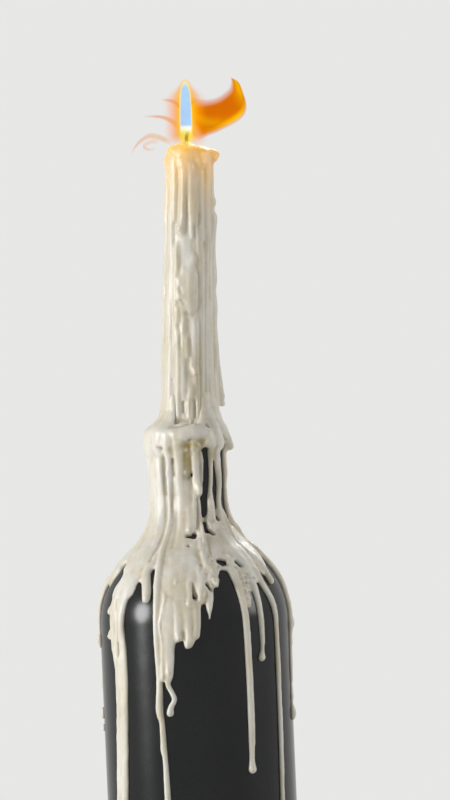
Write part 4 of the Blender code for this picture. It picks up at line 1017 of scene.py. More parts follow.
def to_candle(points):
    """Points of the room in the candle's own upright frame, in millimetres."""
    back = np.array(stand.inverted())
    return (points * MM @ back[:3, :3].T + back[:3, 3]) / MM


print("a point 3 mm off the body stands", over_glass(np.array([[0, -BODY_RADIUS - 3, 100.0]]))[0], "mm high")

# %% [markdown]
# ## Finishes
#
# Real wax is never one colour. It is cloudy, and light goes into it and comes out again beside
# where it went in. Near the flame it is given a painted warm glow, an orange tint and a faint glow
# of its own, for the flame's light that shines through it, and its hollows get painted shade. Old
# glass isn't one black either: dust and a film of soot make it satin. Painted images could show all
# that, but noise in the object's own space has no seams and stays sharp from close by. The
# cloudiness and the dust are effects that more than one material can use, so each is a node group
# with named inputs.

# %% Node group: cloudy tint
PER_METRE = 1000.0


def cloudy_group():
    """Colour that drifts between two tints, as poured wax does, drawn out along Z."""
    group = bpy.data.node_groups.new("cloudy_tint", "ShaderNodeTree")
    for name, kind, value in (("Light", "NodeSocketColor", (0.9, 0.88, 0.8, 1)),
                              ("Deep", "NodeSocketColor", (0.7, 0.62, 0.45, 1)),
                              ("Size", "NodeSocketFloat", 8.0),
                              ("Stretch", "NodeSocketFloat", 3.0)):
        socket = group.interface.new_socket(name, in_out="INPUT", socket_type=kind)
        socket.default_value = value
    group.interface.new_socket("Tint", in_out="OUTPUT", socket_type="NodeSocketColor")
    given, result = group.nodes.new("NodeGroupInput"), group.nodes.new("NodeGroupOutput")
    split = node(group, "SeparateXYZ")
    group.links.new(node(group, "TexCoord").outputs["Object"], split.inputs[0])
    drawn = node(group, "CombineXYZ")
    feed(group, drawn.inputs["X"], split.outputs["X"])
    feed(group, drawn.inputs["Y"], split.outputs["Y"])
    feed(group, drawn.inputs["Z"], math_node(group, "DIVIDE", split.outputs["Z"], given.outputs["Stretch"]))
    wide = node(group, "TexNoise", Detail=3.0, Roughness=0.55, Distortion=0.4)
    feed(group, wide.inputs["Vector"], drawn.outputs[0])
    feed(group, wide.inputs["Scale"], math_node(group, "DIVIDE", PER_METRE, given.outputs["Size"]))
    mask = map_range(group, wide.outputs["Fac"], 0.38, 0.64)
    tint = mix_colour(group, mask, given.outputs["Deep"], given.outputs["Light"])
    group.links.new(tint, result.inputs["Tint"])
    return group


cloudy_tint = cloudy_group()
print("node group:", cloudy_tint.name, "with", len(cloudy_tint.nodes), "nodes")


# %% Node group: settled dust
SPECK_SHARE = 0.24
DUSTY_ABOVE = 0.47


def dust_group():
    """Mask of fine specks over a soft film, thicker on what faces up."""
    group = bpy.data.node_groups.new("settled_dust", "ShaderNodeTree")
    for name, value in (("Film", 0.3), ("Specks", 0.5), ("Speck Size", 0.6)):
        group.interface.new_socket(name, in_out="INPUT", socket_type="NodeSocketFloat").default_value = value
    group.interface.new_socket("Mask", in_out="OUTPUT", socket_type="NodeSocketFloat")
    given, result = group.nodes.new("NodeGroupInput"), group.nodes.new("NodeGroupOutput")
    patches = object_noise(group, Scale=70.0, Detail=5.0, Roughness=0.6)
    specks = node(group, "TexVoronoi")
    feed(group, specks.inputs["Vector"], node(group, "TexCoord").outputs["Object"])
    feed(group, specks.inputs["Scale"], math_node(group, "DIVIDE", PER_METRE, given.outputs["Speck Size"]))
    near = math_node(group, "LESS_THAN", specks.outputs["Distance"], SPECK_SHARE)
    chosen = math_node(group, "GREATER_THAN", patches, DUSTY_ABOVE)
    dots = math_node(group, "MULTIPLY", math_node(group, "MULTIPLY", near, chosen), given.outputs["Specks"])
    facing = node(group, "SeparateXYZ")
    group.links.new(node(group, "NewGeometry").outputs["Normal"], facing.inputs[0])
    up = math_node(group, "MAXIMUM", facing.outputs["Z"], 0.0)
    settled = math_node(group, "ADD", 0.35, math_node(group, "MULTIPLY", up, 1.3))
    film = math_node(group, "MULTIPLY", math_node(group, "MULTIPLY", patches, settled), given.outputs["Film"])
    group.links.new(math_node(group, "ADD", film, dots, clamp=True), result.inputs["Mask"])
    return group


settled_dust = dust_group()
print("node group:", settled_dust.name, "with", len(settled_dust.nodes), "nodes")


# %% Using groups, masks and bumps
def use_group(tree, group, **sockets):
    """Places a node group in a material with its own values and gives its output."""
    made = tree.nodes.new("ShaderNodeGroup")
    made.node_tree = group
    for key, value in sockets.items():
        made.inputs[key.replace("_", " ")].default_value = value
    return made.outputs[0]


def attribute(tree, name, output="Fac"):
    """Reads a mask or a colour that is stored on the points of the mesh."""
    made = node(tree, "Attribute")
    made.attribute_name = name
    return made.outputs[output]


def add_bump(tree, shader, height, strength, distance):
    """Roughens a shader's surface by a height."""
    bump = node(tree, "Bump", Strength=strength, Distance=distance)
    tree.links.new(height, bump.inputs["Height"])
    tree.links.new(bump.outputs[0], shader.inputs["Normal"])


print("a finish can read these masks:", ", ".join(MASKS))


# %% Wax
def wax_colour(tree):
    """Ivory with painted shade in the hollows, darker where thin and with painted shade in some films,
    stained and partly tinted by painted warm light, with a painted flame glow near the top, and sooty.
    """
    tint = use_group(tree, cloudy_tint, Light=(0.88, 0.85, 0.77, 1), Deep=(0.77, 0.71, 0.57, 1),
                     Size=9.0, Stretch=3.0)
    # Painted shade: the hollows between runs are darkened and yellowed, where shade falls.
    painted_hollow_shade = ramp(tree, attribute(tree, "crest"), [(0.15, (0.66, 0.56, 0.38)), (0.55, (0.97, 0.96, 0.94)),
                                                 (0.9, (1.0, 1.0, 1.0))])
    colour = mix_colour(tree, 0.45, tint, painted_hollow_shade, "MULTIPLY")
    # Thin wax and painted shade darken, stains and painted warm light tint brown, the painted flame glow
    # turns orange, and soot blackens.
    for mask, over in (("thin", (0.30, 0.27, 0.21)), ("stain", (0.40, 0.29, 0.05)),
                       ("warm", (0.88, 0.54, 0.14)), ("soot", (0.05, 0.04, 0.035))):
        colour = mix_colour(tree, attribute(tree, mask), colour, over)
    return colour


def wax_material():
    """Ivory candle wax: cloudy, translucent and satin, with a painted warm glow near the flame that stands in
    for the flame's light shining through it.
    """
    made, tree, shader = new_material("ivory_wax")
    tree.links.new(wax_colour(tree), shader.inputs["Base Color"])
    # Painted flame glow: a faint orange glow of the wax's own near the top, for the flame's light shining
    # through it.
    painted_glow_colour = mix_colour(tree, attribute(tree, "warm"), (0.0, 0.0, 0.0), (1.0, 0.46, 0.04))
    tree.links.new(painted_glow_colour, shader.inputs["Emission Color"])
    shader.inputs["Emission Strength"].default_value = 0.36
    grain = object_noise(tree, Scale=900.0, Detail=4.0, Roughness=0.6)
    tree.links.new(map_range(tree, grain, 0.30, 0.52, "To"), shader.inputs["Roughness"])
    ripple = object_noise(tree, Scale=260.0, Detail=3.0)
    relief = math_node(tree, "ADD", math_node(tree, "MULTIPLY", ripple, 0.8),
                       math_node(tree, "MULTIPLY", grain, 0.25))
    add_bump(tree, shader, relief, strength=0.35, distance=0.0004)
    shader.inputs["Subsurface Weight"].default_value = 0.22
    shader.inputs["Subsurface Radius"].default_value = (1.0, 0.62, 0.32)
    shader.inputs["Subsurface Scale"].default_value = 0.0015
    shader.inputs["Coat Weight"].default_value = 0.12
    shader.inputs["Coat Roughness"].default_value = 0.25
    return made


wax = wax_material()
print("wax nodes:", len(wax.node_tree.nodes))


# %% Dark glass
def glass_material():
    """Nearly black green bottle glass under a satin film of dust and soot."""
    made, tree, shader = new_material("dark_bottle_glass")
    dust = use_group(tree, settled_dust, Film=0.02, Specks=0.06, Speck_Size=0.6)
    depth = use_group(tree, cloudy_tint, Light=(0.006, 0.008, 0.007, 1), Deep=(0.002, 0.003, 0.003, 1),
                      Size=40.0, Stretch=2.0)
    tree.links.new(mix_colour(tree, dust, depth, (0.20, 0.20, 0.19)), shader.inputs["Base Color"])
    tree.links.new(map_range(tree, dust, 0.20, 0.40, "To"), shader.inputs["Roughness"])
    orange_peel = object_noise(tree, Scale=90.0, Detail=2.0)
    add_bump(tree, shader, orange_peel, strength=0.12, distance=0.0005)
    shader.inputs["IOR"].default_value = 1.5
    shader.inputs["Specular IOR Level"].default_value = 0.31
    return made


glass = glass_material()
print("glass nodes:", len(glass.node_tree.nodes))

# %% [markdown]
# ## The bottle
#
# Blown glass is a turned shape with one wall, so it is a profile spun round Z: outside from the
# lip to the heel, up into the punt, and back up the inside. The solid has flat facets; this one
# has enough of them to look round.

# %% The bottle's profile
def bottle_profile():
    """The whole wall as (radius, height) points, outside first, then the inside from the punt up."""
    lip = arc((LIP_RADIUS - 1.0, BOTTLE_HEIGHT - 1.0), 1.0, 90, 0, 4)
    band_end = BOTTLE_HEIGHT - LIP_DEPTH
    under_band = [(LIP_RADIUS, band_end), (LIP_RADIUS - 0.3, band_end - 0.5), (NECK_RADIUS, band_end - 1.2)]
    heel = arc((BODY_RADIUS - HEEL_ROUND, HEEL_ROUND), HEEL_ROUND, 0, -90, 8)
    punt = [(RING_INNER_RADIUS, 0.0), (25.2, 2.4), (20.0, 9.5), (15.0, 15.4), (10.0, 20.0), (5.0, 23.0),
            (0.0, PUNT_HEIGHT)]
    inner = BODY_RADIUS - BODY_WALL
    floor_inside = [(0.0, PUNT_HEIGHT + PUNT_WALL), (11.0, PUNT_HEIGHT - 0.5), (22.0, 12.0), (29.0, 4.6),
                    (inner, 8.0)]
    side_inside = shoulder((BORE_RADIUS, NECK_FOOT + 3), (inner, BODY_TOP - 1), 12)[::-1]
    mouth = [(BORE_RADIUS, BOTTLE_HEIGHT - 0.7), (BORE_RADIUS + 0.7, BOTTLE_HEIGHT)]
    return lip + under_band + shoulder_line + heel + punt + floor_inside + side_inside + mouth


print("the wall of the bottle has", len(bottle_profile()), "points")

# %% Spin the bottle
BOTTLE_SEGMENTS = 144
SHARP_EDGE = 50
WELD = 0.01


def lathe(profile, segments, closed=False):
    """Spins a profile of (radius, height) in millimetres round Z and gives the bmesh."""
    bm = bmesh.new()
    verts = [bm.verts.new((r * MM, 0.0, z * MM)) for r, z in profile]
    edges = [bm.edges.new(pair) for pair in zip(verts, verts[1:])]
    if closed:
        edges.append(bm.edges.new((verts[-1], verts[0])))
    bmesh.ops.spin(bm, geom=verts + edges, cent=(0, 0, 0), axis=(0, 0, 1), dvec=(0, 0, 0),
                   angle=2 * math.pi, steps=segments, use_merge=True, use_duplicate=False)
    bmesh.ops.remove_doubles(bm, verts=bm.verts, dist=WELD * MM)
    bmesh.ops.recalc_face_normals(bm, faces=bm.faces)
    return bm


bottle_bm = lathe(bottle_profile(), BOTTLE_SEGMENTS, closed=True)
bottle_mesh = bpy.data.meshes.new("bottle_glass")
bottle_bm.to_mesh(bottle_mesh)
bottle_bm.free()
bottle = new_object("bottle_glass", bottle_mesh, glass)
bottle_mesh.set_sharp_from_angle(angle=math.radians(SHARP_EDGE))
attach(bottle, "root")
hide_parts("bottle")
print("bottle:", len(bottle_mesh.polygons), "faces")

# %% [markdown]
# ## The wax on the bottle
#
# The first wax to set made a rolled collar round the lip, and all later wax ran over it. The
# collar is one more turned body among the runs. It sits round the candle, so all that stands
# higher than the glass is moved over with the candle's lean. After fusing, noise gives the skin
# its uneven pour, and a list of creases and holes presses it in where the real wax parted. What
# lies inside the glass or inside the candle is never seen and is trimmed away.

# %% The collar and the runs
LIP = BOTTLE_HEIGHT
COLLAR = [(11.2, LIP + 0.9), (8.0, LIP + 0.9), (8.0, LIP + 1.6), (10.8, LIP + 1.6), (12.4, LIP + 0.9),
          (14.6, LIP - 0.8), (15.8, LIP - 3.0), (16.0, LIP - 5.0), (15.4, LIP - 6.4), (11.2, LIP - 7.0)]
TURNED_SEGMENTS = 96
OVER_LIP = 272
FRONT_HALF = 35
CLIMB, DROP = 7, 3
RUN_RISE = 2.5
FINE_RUN_RISE = 4.0


def led_over_lip(stations):
    """Gives a run that comes over the lip a thin start: further up at sides and back, lower in front."""
    angle, height, width = stations[0][:3]
    if height < OVER_LIP:
        return stations
    if abs(angle) > FRONT_HALF:
        return [(angle, height + CLIMB, width * 0.8, 0.5)] + stations
    return [(angle, height - DROP, width, 0.6)] + stations[1:]


wax_bm = lathe(COLLAR, TURNED_SEGMENTS, closed=True)
for family in (LEFT_RUNS, FRONT_RUNS, RIGHT_RUNS, COLLAR_RUNS, BACK_RUNS):
    for stations in family.values():
        add_run(wax_bm, led_over_lip(stations), bottle_surface, rise=RUN_RISE)
for stations in FINE_RUNS.values():
    add_run(wax_bm, stations, bottle_surface, rise=FINE_RUN_RISE)
print("the collar and all runs have", len(wax_bm.faces), "faces")

# %% Move the top over with the candle and fuse
LEAN_FROM = LIP - 1.0
LEAN_OVER = 6.0
# About the tangent of CANDLE_LEAN
LEAN_SLOPE = 0.0436
WAX_VOXEL = 0.495


def smooth_step(low, high, value):
    """0 below low, 1 above high, and a soft rise between them."""
    share = min(1.0, max(0.0, (value - low) / (high - low)))
    return share * share * (3 - 2 * share)


for vert in wax_bm.verts:
    up = vert.co.z / MM - LEAN_FROM
    vert.co.x += smooth_step(0.0, LEAN_OVER, up) * (CANDLE_OFFSET + LEAN_SLOPE * max(up, 0.0)) * MM
# The candle's foot is one more body, so that the wax closes round it.
CORE_TOP, CORE_FOOT = 14.0, -1.0
core = lathe([(0.0, CORE_TOP), (CANDLE_FOOT_RADIUS - 0.7, CORE_TOP),
              (CANDLE_FOOT_RADIUS - 0.6, CORE_FOOT), (0.0, CORE_FOOT)], 64)
core.transform(stand)
core_mesh = bpy.data.meshes.new("core")
core.to_mesh(core_mesh)
core.free()
wax_bm.from_mesh(core_mesh)
bpy.data.meshes.remove(core_mesh)
crust_points, crust_quads = fuse(wax_bm, WAX_VOXEL)
crust_points = relax(crust_points, crust_quads, passes=3)
print("wax skin:", len(crust_points), "points before trimming")


# %% Creases, soft places and ridges
def line_distance(points, line):
    """Distance in millimetres of points from a broken line."""
    line = np.array(line if len(line) > 1 else line * 2)
    best = np.full(len(points), 1e9)
    for a, b in zip(line, line[1:]):
        along = b - a
        share = np.clip((points - a) @ along / max(along @ along, 1e-9), 0, 1)
        best = np.minimum(best, np.linalg.norm(points - a - share[:, None] * along, axis=1))
    return best


def crease(points, normals, surface, width, depth, line):
    """Pushes the skin in along a line of (angle, height) points."""
    path = [surface.place(math.radians(a), surface.travel_at(z), 1.2) / MM for a, z in line]
    share = np.exp(-(line_distance(points, path) / (0.62 * width)) ** 2.6)
    return points - normals * (share * depth)[:, None]


def patch(points, angle, height, width, length):
    """Soft mask round a place given by angle and height, 1 at its middle."""
    turn = np.degrees(np.arctan2(points[:, 0], -points[:, 1]))
    off = (turn - angle + 180) % 360 - 180
    across = np.radians(off) * np.hypot(points[:, 0], points[:, 1]) / (0.5 * width)
    along = (points[:, 2] - height) / (0.5 * length)
    return np.exp(-(across ** 2 + along ** 2))


def ridges(points, surface_radius, size, stretch, seed):
    """Noise in long ridges down the flow, up to 1 on the crests and below 0 in the creases."""
    turn = np.arctan2(points[:, 0], -points[:, 1])
    flow = np.stack([surface_radius * np.sin(turn), surface_radius * np.cos(turn),
                     (points[:, 2] - np.hypot(points[:, 0], points[:, 1])) / stretch], 1)
    return 1 - 2.6 * np.abs(cloud(flow, size, seed))


beside = np.array([[0.0, -BODY_RADIUS, 100.0], [3.0, -BODY_RADIUS, 100.0]])
print("a patch 6 mm wide, at its middle and 3 mm beside it:", np.round(patch(beside, 0, 100, 6, 6), 2))

# %% Uneven pour and creases
RIDGE_DEPTH, SWELL_DEPTH, GRAIN_DEPTH = 0.15, 0.12, 0.04
FROTH_DEPTH = 1.6
facing = normals_of(crust_points, crust_quads)
lift = over_glass(crust_points)
below_collar = np.clip((LIP - 6.0 - crust_points[:, 2]) / 8.0, 0.25, 1)
flow = ridges(crust_points, surface_radius=17.0, size=2.6, stretch=7.0, seed=1)
pour = (RIDGE_DEPTH * below_collar * flow + SWELL_DEPTH * cloud(crust_points, size=3.0, seed=2)
        + GRAIN_DEPTH * cloud(crust_points, size=1.1, seed=3))
for angle, height, width, length, strength in FROTH:
    mask = patch(crust_points, angle, height, width, length)
    near = mask > 0.03
    pour[near] += mask[near] * strength * FROTH_DEPTH * cloud(crust_points[near], size=0.9, seed=4)
crust_points = crust_points + facing * (pour * np.clip(lift / 0.8, 0, 1))[:, None]
outer = (lift > 0.0)[:, None]
for width, depth, line in CREASES:
    pressed = crease(crust_points, facing, bottle_surface, width, depth, line)
    crust_points = np.where(outer, pressed, crust_points)
crust_points = relax(crust_points, crust_quads, passes=1, amount=0.4)
print("the pour swells and sinks by up to", round(np.abs(pour).max(), 2), "mm")

# %% Trimming
IN_GLASS = -0.12
IN_CANDLE = 0.8
lift = over_glass(crust_points)
in_candle = to_candle(crust_points)
candle_side = np.interp(in_candle[:, 2], [0, CANDLE_TOP], [CANDLE_FOOT_RADIUS, CANDLE_TOP_RADIUS])
from_axis = np.hypot(in_candle[:, 0], in_candle[:, 1])
deep = (from_axis < candle_side - IN_CANDLE) & (in_candle[:, 2] > 0.5)
used, crust_quads = keep_points(crust_points, crust_quads, ~((lift < IN_GLASS) | deep))
crust_points, lift = crust_points[used], lift[used]
print("wax skin:", len(crust_points), "points,", 2 * len(crust_quads), "triangles, up to",
      round(lift.max(), 1), "mm thick")

# %% Masks for the wax
CLOUDED_FROM = 0.9


def crests(points, quads):
    """How far each point stands out from its wider surroundings: 0 in a hollow, 1 on a crest."""
    smooth = relax(points, quads, passes=14)
    out = np.einsum("ij,ij->i", points - smooth, normals_of(smooth, quads))
    return np.clip(0.5 + out / 0.30, 0, 1)


def thinness(lift):
    """How much of the dark glass shows through wax of a thickness in millimetres."""
    return np.clip(1 - lift / CLOUDED_FROM, 0, 1) ** 1.5 * 0.8


def add_patches(mask, points, table, weight=1.0):
    """Puts the soft places of a table on a mask; where two meet, the stronger one counts."""
    for angle, height, width, length, strength in table:
        mask = np.maximum(mask, strength * weight * patch(points, angle, height, width, length))
    return mask


print("wax of 0, 0.3 and 0.9 mm shows this much glass:", np.round(thinness(np.array([0, 0.3, 0.9])), 2))

# %% The wax on the bottle as an object
# A film, its painted shade too, shows less and less where the wax is more than CLOUDED_FROM thick.
shallow = np.clip(2.0 - lift / CLOUDED_FROM, 0, 1)
thin = add_patches(thinness(lift), crust_points, THIN_FILMS_AND_SHADE, weight=shallow)
stain = add_patches(np.zeros(len(crust_points)), crust_points, STAINS)
stain *= np.clip(0.95 + 0.45 * cloud(crust_points, size=2.0, seed=5), 0, 1)
crust = skin_object("wax_on_bottle", crust_points, crust_quads, wax, thin=thin, stain=stain,
                    crest=crests(crust_points, crust_quads))
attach(crust, "root")
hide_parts("wax_crust")
print("share of the skin that lets glass show:", round(float((thin > 0.1).mean()), 2))

# %% Two drops beside the runs
DROP_VOXEL = 0.18
DROP_STEP = 0.3
for name, stations in LOOSE_DROPS.items():
    drop_bm = bmesh.new()
    add_run(drop_bm, stations, bottle_surface, step=DROP_STEP)
    points, quads = fuse(drop_bm, DROP_VOXEL)
    points = relax(points, quads, passes=2)
    drop = skin_object(name + "_skin", points, quads, wax, thin=thinness(over_glass(points)),
                       crest=crests(points, quads))
    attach(drop, "root")
    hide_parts(name)
    print(name, len(quads), "faces")

# %% [markdown]
# ## The candle
#
# The taper is built upright round its own axis with the runs that have set on its side, fused in
# the same way, and then leaned into the bottle's neck. Upright is easier, because every height is
# then a height along the candle. Long shallow grooves between the runs come from noise that is
# drawn out along it.

# %% Fuse the candle
CANDLE_VOXEL = 0.4
CANDLE_RISE = 3.0
FLAT_WITHIN, FLAT_SHARE = 50, 0.7
AT_FOOT, UNDER_FOOT = 4, -0.5
HANGING_DROP = (13.0, 0.0, 9.6)
HANGING_RADIUS = 1.3
TOP = CANDLE_TOP
taper = [(0.0, TOP + 1.4), (3.0, TOP + 1.3), (5.4, TOP + 1.1), (7.0, TOP + 0.8),
         (CANDLE_TOP_RADIUS - 0.4, TOP), (CANDLE_TOP_RADIUS, TOP - 1.6), (CANDLE_FOOT_RADIUS, 1.0),
         (PLUG_RADIUS, 0.4), (PLUG_RADIUS - 0.5, -PLUG_DEPTH + 1.0), (PLUG_RADIUS - 1.5, -PLUG_DEPTH),
         (0.0, -PLUG_DEPTH)]


def flattened(stations):
    """Runs stand less proud at the front, where finer ones lie over them."""
    return [(a, z, w, t * FLAT_SHARE if abs(a) < FLAT_WITHIN else t) for a, z, w, t in stations]


def led_to_foot(stations):
    """A run that ends at the candle's foot is led on into the wax below."""
    angle, height, width, thickness = stations[-1]
    if height > AT_FOOT:
        return stations
    return stations + [(angle, UNDER_FOOT, width * 1.1, thickness * 1.1)]


candle_bm = lathe(taper, TURNED_SEGMENTS)
for stations in [flattened(s) for s in CANDLE_RUNS.values()] + list(CANDLE_FINE_RUNS.values()):
    add_run(candle_bm, led_to_foot(stations), candle_surface, rise=CANDLE_RISE)
bmesh.ops.create_icosphere(candle_bm, subdivisions=3, radius=HANGING_RADIUS * MM,
                           matrix=Matrix.Translation(Vector(HANGING_DROP) * MM))
candle_points, candle_quads = fuse(candle_bm, CANDLE_VOXEL)
candle_points = relax(candle_points, candle_quads, passes=8)
print("candle skin:", len(candle_points), "points,", 2 * len(candle_quads), "triangles")

# %% Shape the candle
on_top = np.clip((candle_points[:, 2] - (TOP - 2.0)) / 2.0, 0, 1)
from_wick = np.hypot(candle_points[:, 0] - WICK_X, candle_points[:, 1])
mound = (MOUND_HEIGHT - 1.3) * np.exp(-(from_wick / 2.4) ** 2)
tilt = 0.06 * candle_points[:, 0]
candle_points[:, 2] += on_top * (mound - tilt + 0.25 * cloud(candle_points, size=3.2, seed=12))
facing = normals_of(candle_points, candle_quads)
above = np.clip((candle_points[:, 2] - 1.0) / 3.0, 0, 1)
grooves = (0.06 * ridges(candle_points, surface_radius=10.0, size=2.2, stretch=14.0, seed=7)
           + 0.10 * cloud(candle_points, size=2.3, seed=8, stretch=2.5)
           + 0.05 * cloud(candle_points, size=1.0, seed=9))
candle_points = candle_points + facing * (grooves * above)[:, None]
for width, depth, line in CANDLE_CREASES:
    candle_points = crease(candle_points, facing, candle_surface, width, depth, line)
candle_points = relax(candle_points, candle_quads, passes=1, amount=0.4)
print("its top stands", round(candle_points[:, 2].max(), 1), "mm over the lip")

# %% The candle as an object
# Painted flame glow: the wax turns orange towards the top, most of all round the wick, as if lit through by
# the flame.
PAINTED_GLOW_DEPTH = 32.0
near_top = np.clip((candle_points[:, 2] - (TOP - PAINTED_GLOW_DEPTH)) / PAINTED_GLOW_DEPTH, 0, 1)
uneven = 0.8 + 0.6 * cloud(candle_points, size=4.0, seed=11, stretch=4.0)
warm = 0.65 * near_top ** 1.5 * np.clip(uneven, 0, 1)
warm = np.clip(warm + 0.75 * np.exp((candle_points[:, 2] - TOP - MOUND_HEIGHT) / 5.0), 0, 1)
soot = np.clip(1 - from_wick / 1.8, 0, 1) * (candle_points[:, 2] > TOP) * 0.6
# Stains, partly painted warm light on the candle's ridges.
stain = add_patches(np.zeros(len(candle_points)), candle_points, CANDLE_STAINS_AND_WARM_LIGHT)
leaned = np.array(stand)
placed = (candle_points * MM @ leaned[:3, :3].T + leaned[:3, 3]) / MM
candle = skin_object("candle_wax", placed, candle_quads, wax, stain=stain, warm=warm, soot=soot,
                     crest=crests(candle_points, candle_quads))
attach(candle, "root")
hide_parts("candle")
print("candle top at", round(placed[:, 2].max(), 1), "mm")

# %% [markdown]
# ## The wick
#
# A candle's wick is braided cotton. A true braid could be drawn with curves, but three strands
# twisted round each other read as one at this size. The flame has charred it, it bends a little
# at the tip, and the tip glows.

# %% Charred cotton
MOUND_TOP = CANDLE_TOP + MOUND_HEIGHT


def char_material():
    """Charred cotton with a glowing tip, pale with wax at its foot."""
    made, tree, shader = new_material("charred_wick")
    fibre = object_noise(tree, Scale=3500.0, Detail=3.0)
    char = ramp(tree, fibre, [(0.35, (0.010, 0.007, 0.006)), (0.65, (0.045, 0.028, 0.018))])
    colour = mix_colour(tree, attribute(tree, "waxed"), char, (0.42, 0.28, 0.13))
    tree.links.new(colour, shader.inputs["Base Color"])
    shader.inputs["Roughness"].default_value = 0.9
    add_bump(tree, shader, fibre, strength=0.6, distance=0.0001)
    glow = mix_colour(tree, attribute(tree, "ember"), (0.0, 0.0, 0.0), (1.0, 0.28, 0.04))
    tree.links.new(glow, shader.inputs["Emission Color"])
    shader.inputs["Emission Strength"].default_value = 1.2
    return made


charred = char_material()
print("the wick comes out of the wax", MOUND_TOP, "mm over the lip")

# %% Twist the wick
STRANDS = 3
STRAND_SIDES = 10
STRAND_RADIUS = 0.40
STRAND_OFFSET = 0.38
TWIST_PITCH = 3.4
IN_WAX = 4.0
WICK_RINGS = 44


def wick_bend(z):
    """Sideways lean of the wick at a height above the candle's foot."""
    return WICK_X + 0.8 * max(0.0, (z - MOUND_TOP) / WICK_ABOVE) ** 2.2


wick_points, wick_faces = [], []
heights = np.linspace(MOUND_TOP - IN_WAX, MOUND_TOP + WICK_ABOVE, WICK_RINGS)
for strand in range(STRANDS):
    for z in heights:
        end = min(1.0, (heights[-1] - z) / 0.7)
        thick = STRAND_RADIUS * (0.35 + 0.65 * end ** 0.5)
        twist = 2 * math.pi * (z / TWIST_PITCH + strand / STRANDS)
        for side in range(STRAND_SIDES):
            turn = 2 * math.pi * side / STRAND_SIDES
            wick_points.append((wick_bend(z) + STRAND_OFFSET * math.cos(twist) + thick * math.cos(turn),
                                STRAND_OFFSET * math.sin(twist) + thick * math.sin(turn), z))
    first = strand * WICK_RINGS * STRAND_SIDES
    for k in range(WICK_RINGS - 1):
        for side in range(STRAND_SIDES):
            a, b = first + k * STRAND_SIDES + side, first + k * STRAND_SIDES + (side + 1) % STRAND_SIDES
            wick_faces.append((a, b, b + STRAND_SIDES, a + STRAND_SIDES))
    last = first + (WICK_RINGS - 1) * STRAND_SIDES
    wick_faces.append(tuple(range(first, first + STRAND_SIDES))[::-1])
    wick_faces.append(tuple(range(last, last + STRAND_SIDES)))
print("three strands of", len(wick_faces) // STRANDS, "faces each")

# %% The wick as an object
above_wax = np.array(wick_points)[:, 2] - MOUND_TOP
wick_mesh = mesh_from("wick_braid", [stand @ (Vector(p) * MM) for p in wick_points], wick_faces)
for key, values in (("waxed", np.clip(1 - above_wax / 1.2, 0, 1)),
                    ("ember", np.clip((above_wax - 3.6) / 1.0, 0, 1))):
    wick_mesh.attributes.new(key, "FLOAT", "POINT").data.foreach_set("value", values.astype(np.float32))
wick = new_object("wick_braid", wick_mesh, charred)
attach(wick, "root")
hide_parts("wick")
print("wick stands", WICK_ABOVE, "mm over the wax")

# %% [markdown]
# ## The flame
#
# A flame has no surface, but it has places: a clear foot round the wick, a pale bluish body, a
# white skin, and orange gas round it that a draught has drawn out to one side. Glowing smoke in a
# volume would be nearest to nature, but it is slow and doesn't leave Blender, so the gas is made
# of sheets. The body and its skin are two thin shells. The glow round them is two crossed sheets
# that fade towards their edges, the tongue in the draught is one bent sheet, and the wisps on the
# other side are narrow ones. Colour and fading are stored on the points, so they belong to the
# flame and not to any point of view.

# %% Flame material
def flame_material():
    """Glowing gas: colour from the points, as see-through as the points say."""
    made, tree, shader = new_material("flame_gas")
    shader.inputs["Base Color"].default_value = (0, 0, 0, 1)
    shader.inputs["Specular IOR Level"].default_value = 0.0
    shader.inputs["Roughness"].default_value = 1.0
    shader.inputs["Emission Strength"].default_value = 1.0
    uneven = map_range(tree, object_noise(tree, Scale=160.0, Detail=2.0), 0.85, 1.15, "To")
    tint = mix_colour(tree, 1.0, attribute(tree, "glow", "Color"), uneven, "MULTIPLY")
    tree.links.new(tint, shader.inputs["Emission Color"])
    tree.links.new(attribute(tree, "glow", "Alpha"), shader.inputs["Alpha"])
    made.surface_render_method = "BLENDED"
    return made


gas = flame_material()
print("flame nodes:", len(gas.node_tree.nodes))


# %% Sheets of gas
def flame_object(name, points, faces, colours):
    """A part of the flame in the candle's own frame, with (r, g, b, alpha) on each point."""
    mesh = mesh_from(name, [stand @ (Vector(p) * MM) for p in points], faces)
    layer = mesh.attributes.new("glow", "FLOAT_COLOR", "POINT")
    layer.data.foreach_set("color", np.asarray(colours, np.float32).ravel())
    piece = new_object(name, mesh, gas)
    piece.visible_shadow = False
    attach(piece, "root")
    print(name, "has", len(faces), "faces")


def grid_faces(rows, columns, around=False):
    """Faces of a grid of points, closed round its columns or not."""
    last = columns if around else columns - 1
    return [(r * columns + c, r * columns + (c + 1) % columns, (r + 1) * columns + (c + 1) % columns,
             (r + 1) * columns + c) for r in range(rows - 1) for c in range(last)]


def clamp(value):
    """Keeps a value within 0 and 1."""
    return min(1.0, max(0.0, value))


def bell(off, width):
    """1 where off is 0, falling away softly on both sides."""
    return math.exp(-(off / width) ** 2)


print("a grid of 3 by 4 points has", len(grid_faces(3, 4)), "faces")

# %% Outline and colours of the flame
FLAME_FOOT = MOUND_TOP - 0.2
FLAME_HEIGHT = 24.0
FLAME_LEAN = 0.5
RIM = 0.42
# Share of the height and radius in millimetres
FLAME_OUTLINE = [(0.0, 2.2), (0.05, 2.45), (0.3, 2.5), (0.55, 2.42), (0.75, 2.22), (0.86, 1.9), (0.93, 1.45),
                 (0.975, 0.9), (1.0, 0.15)]
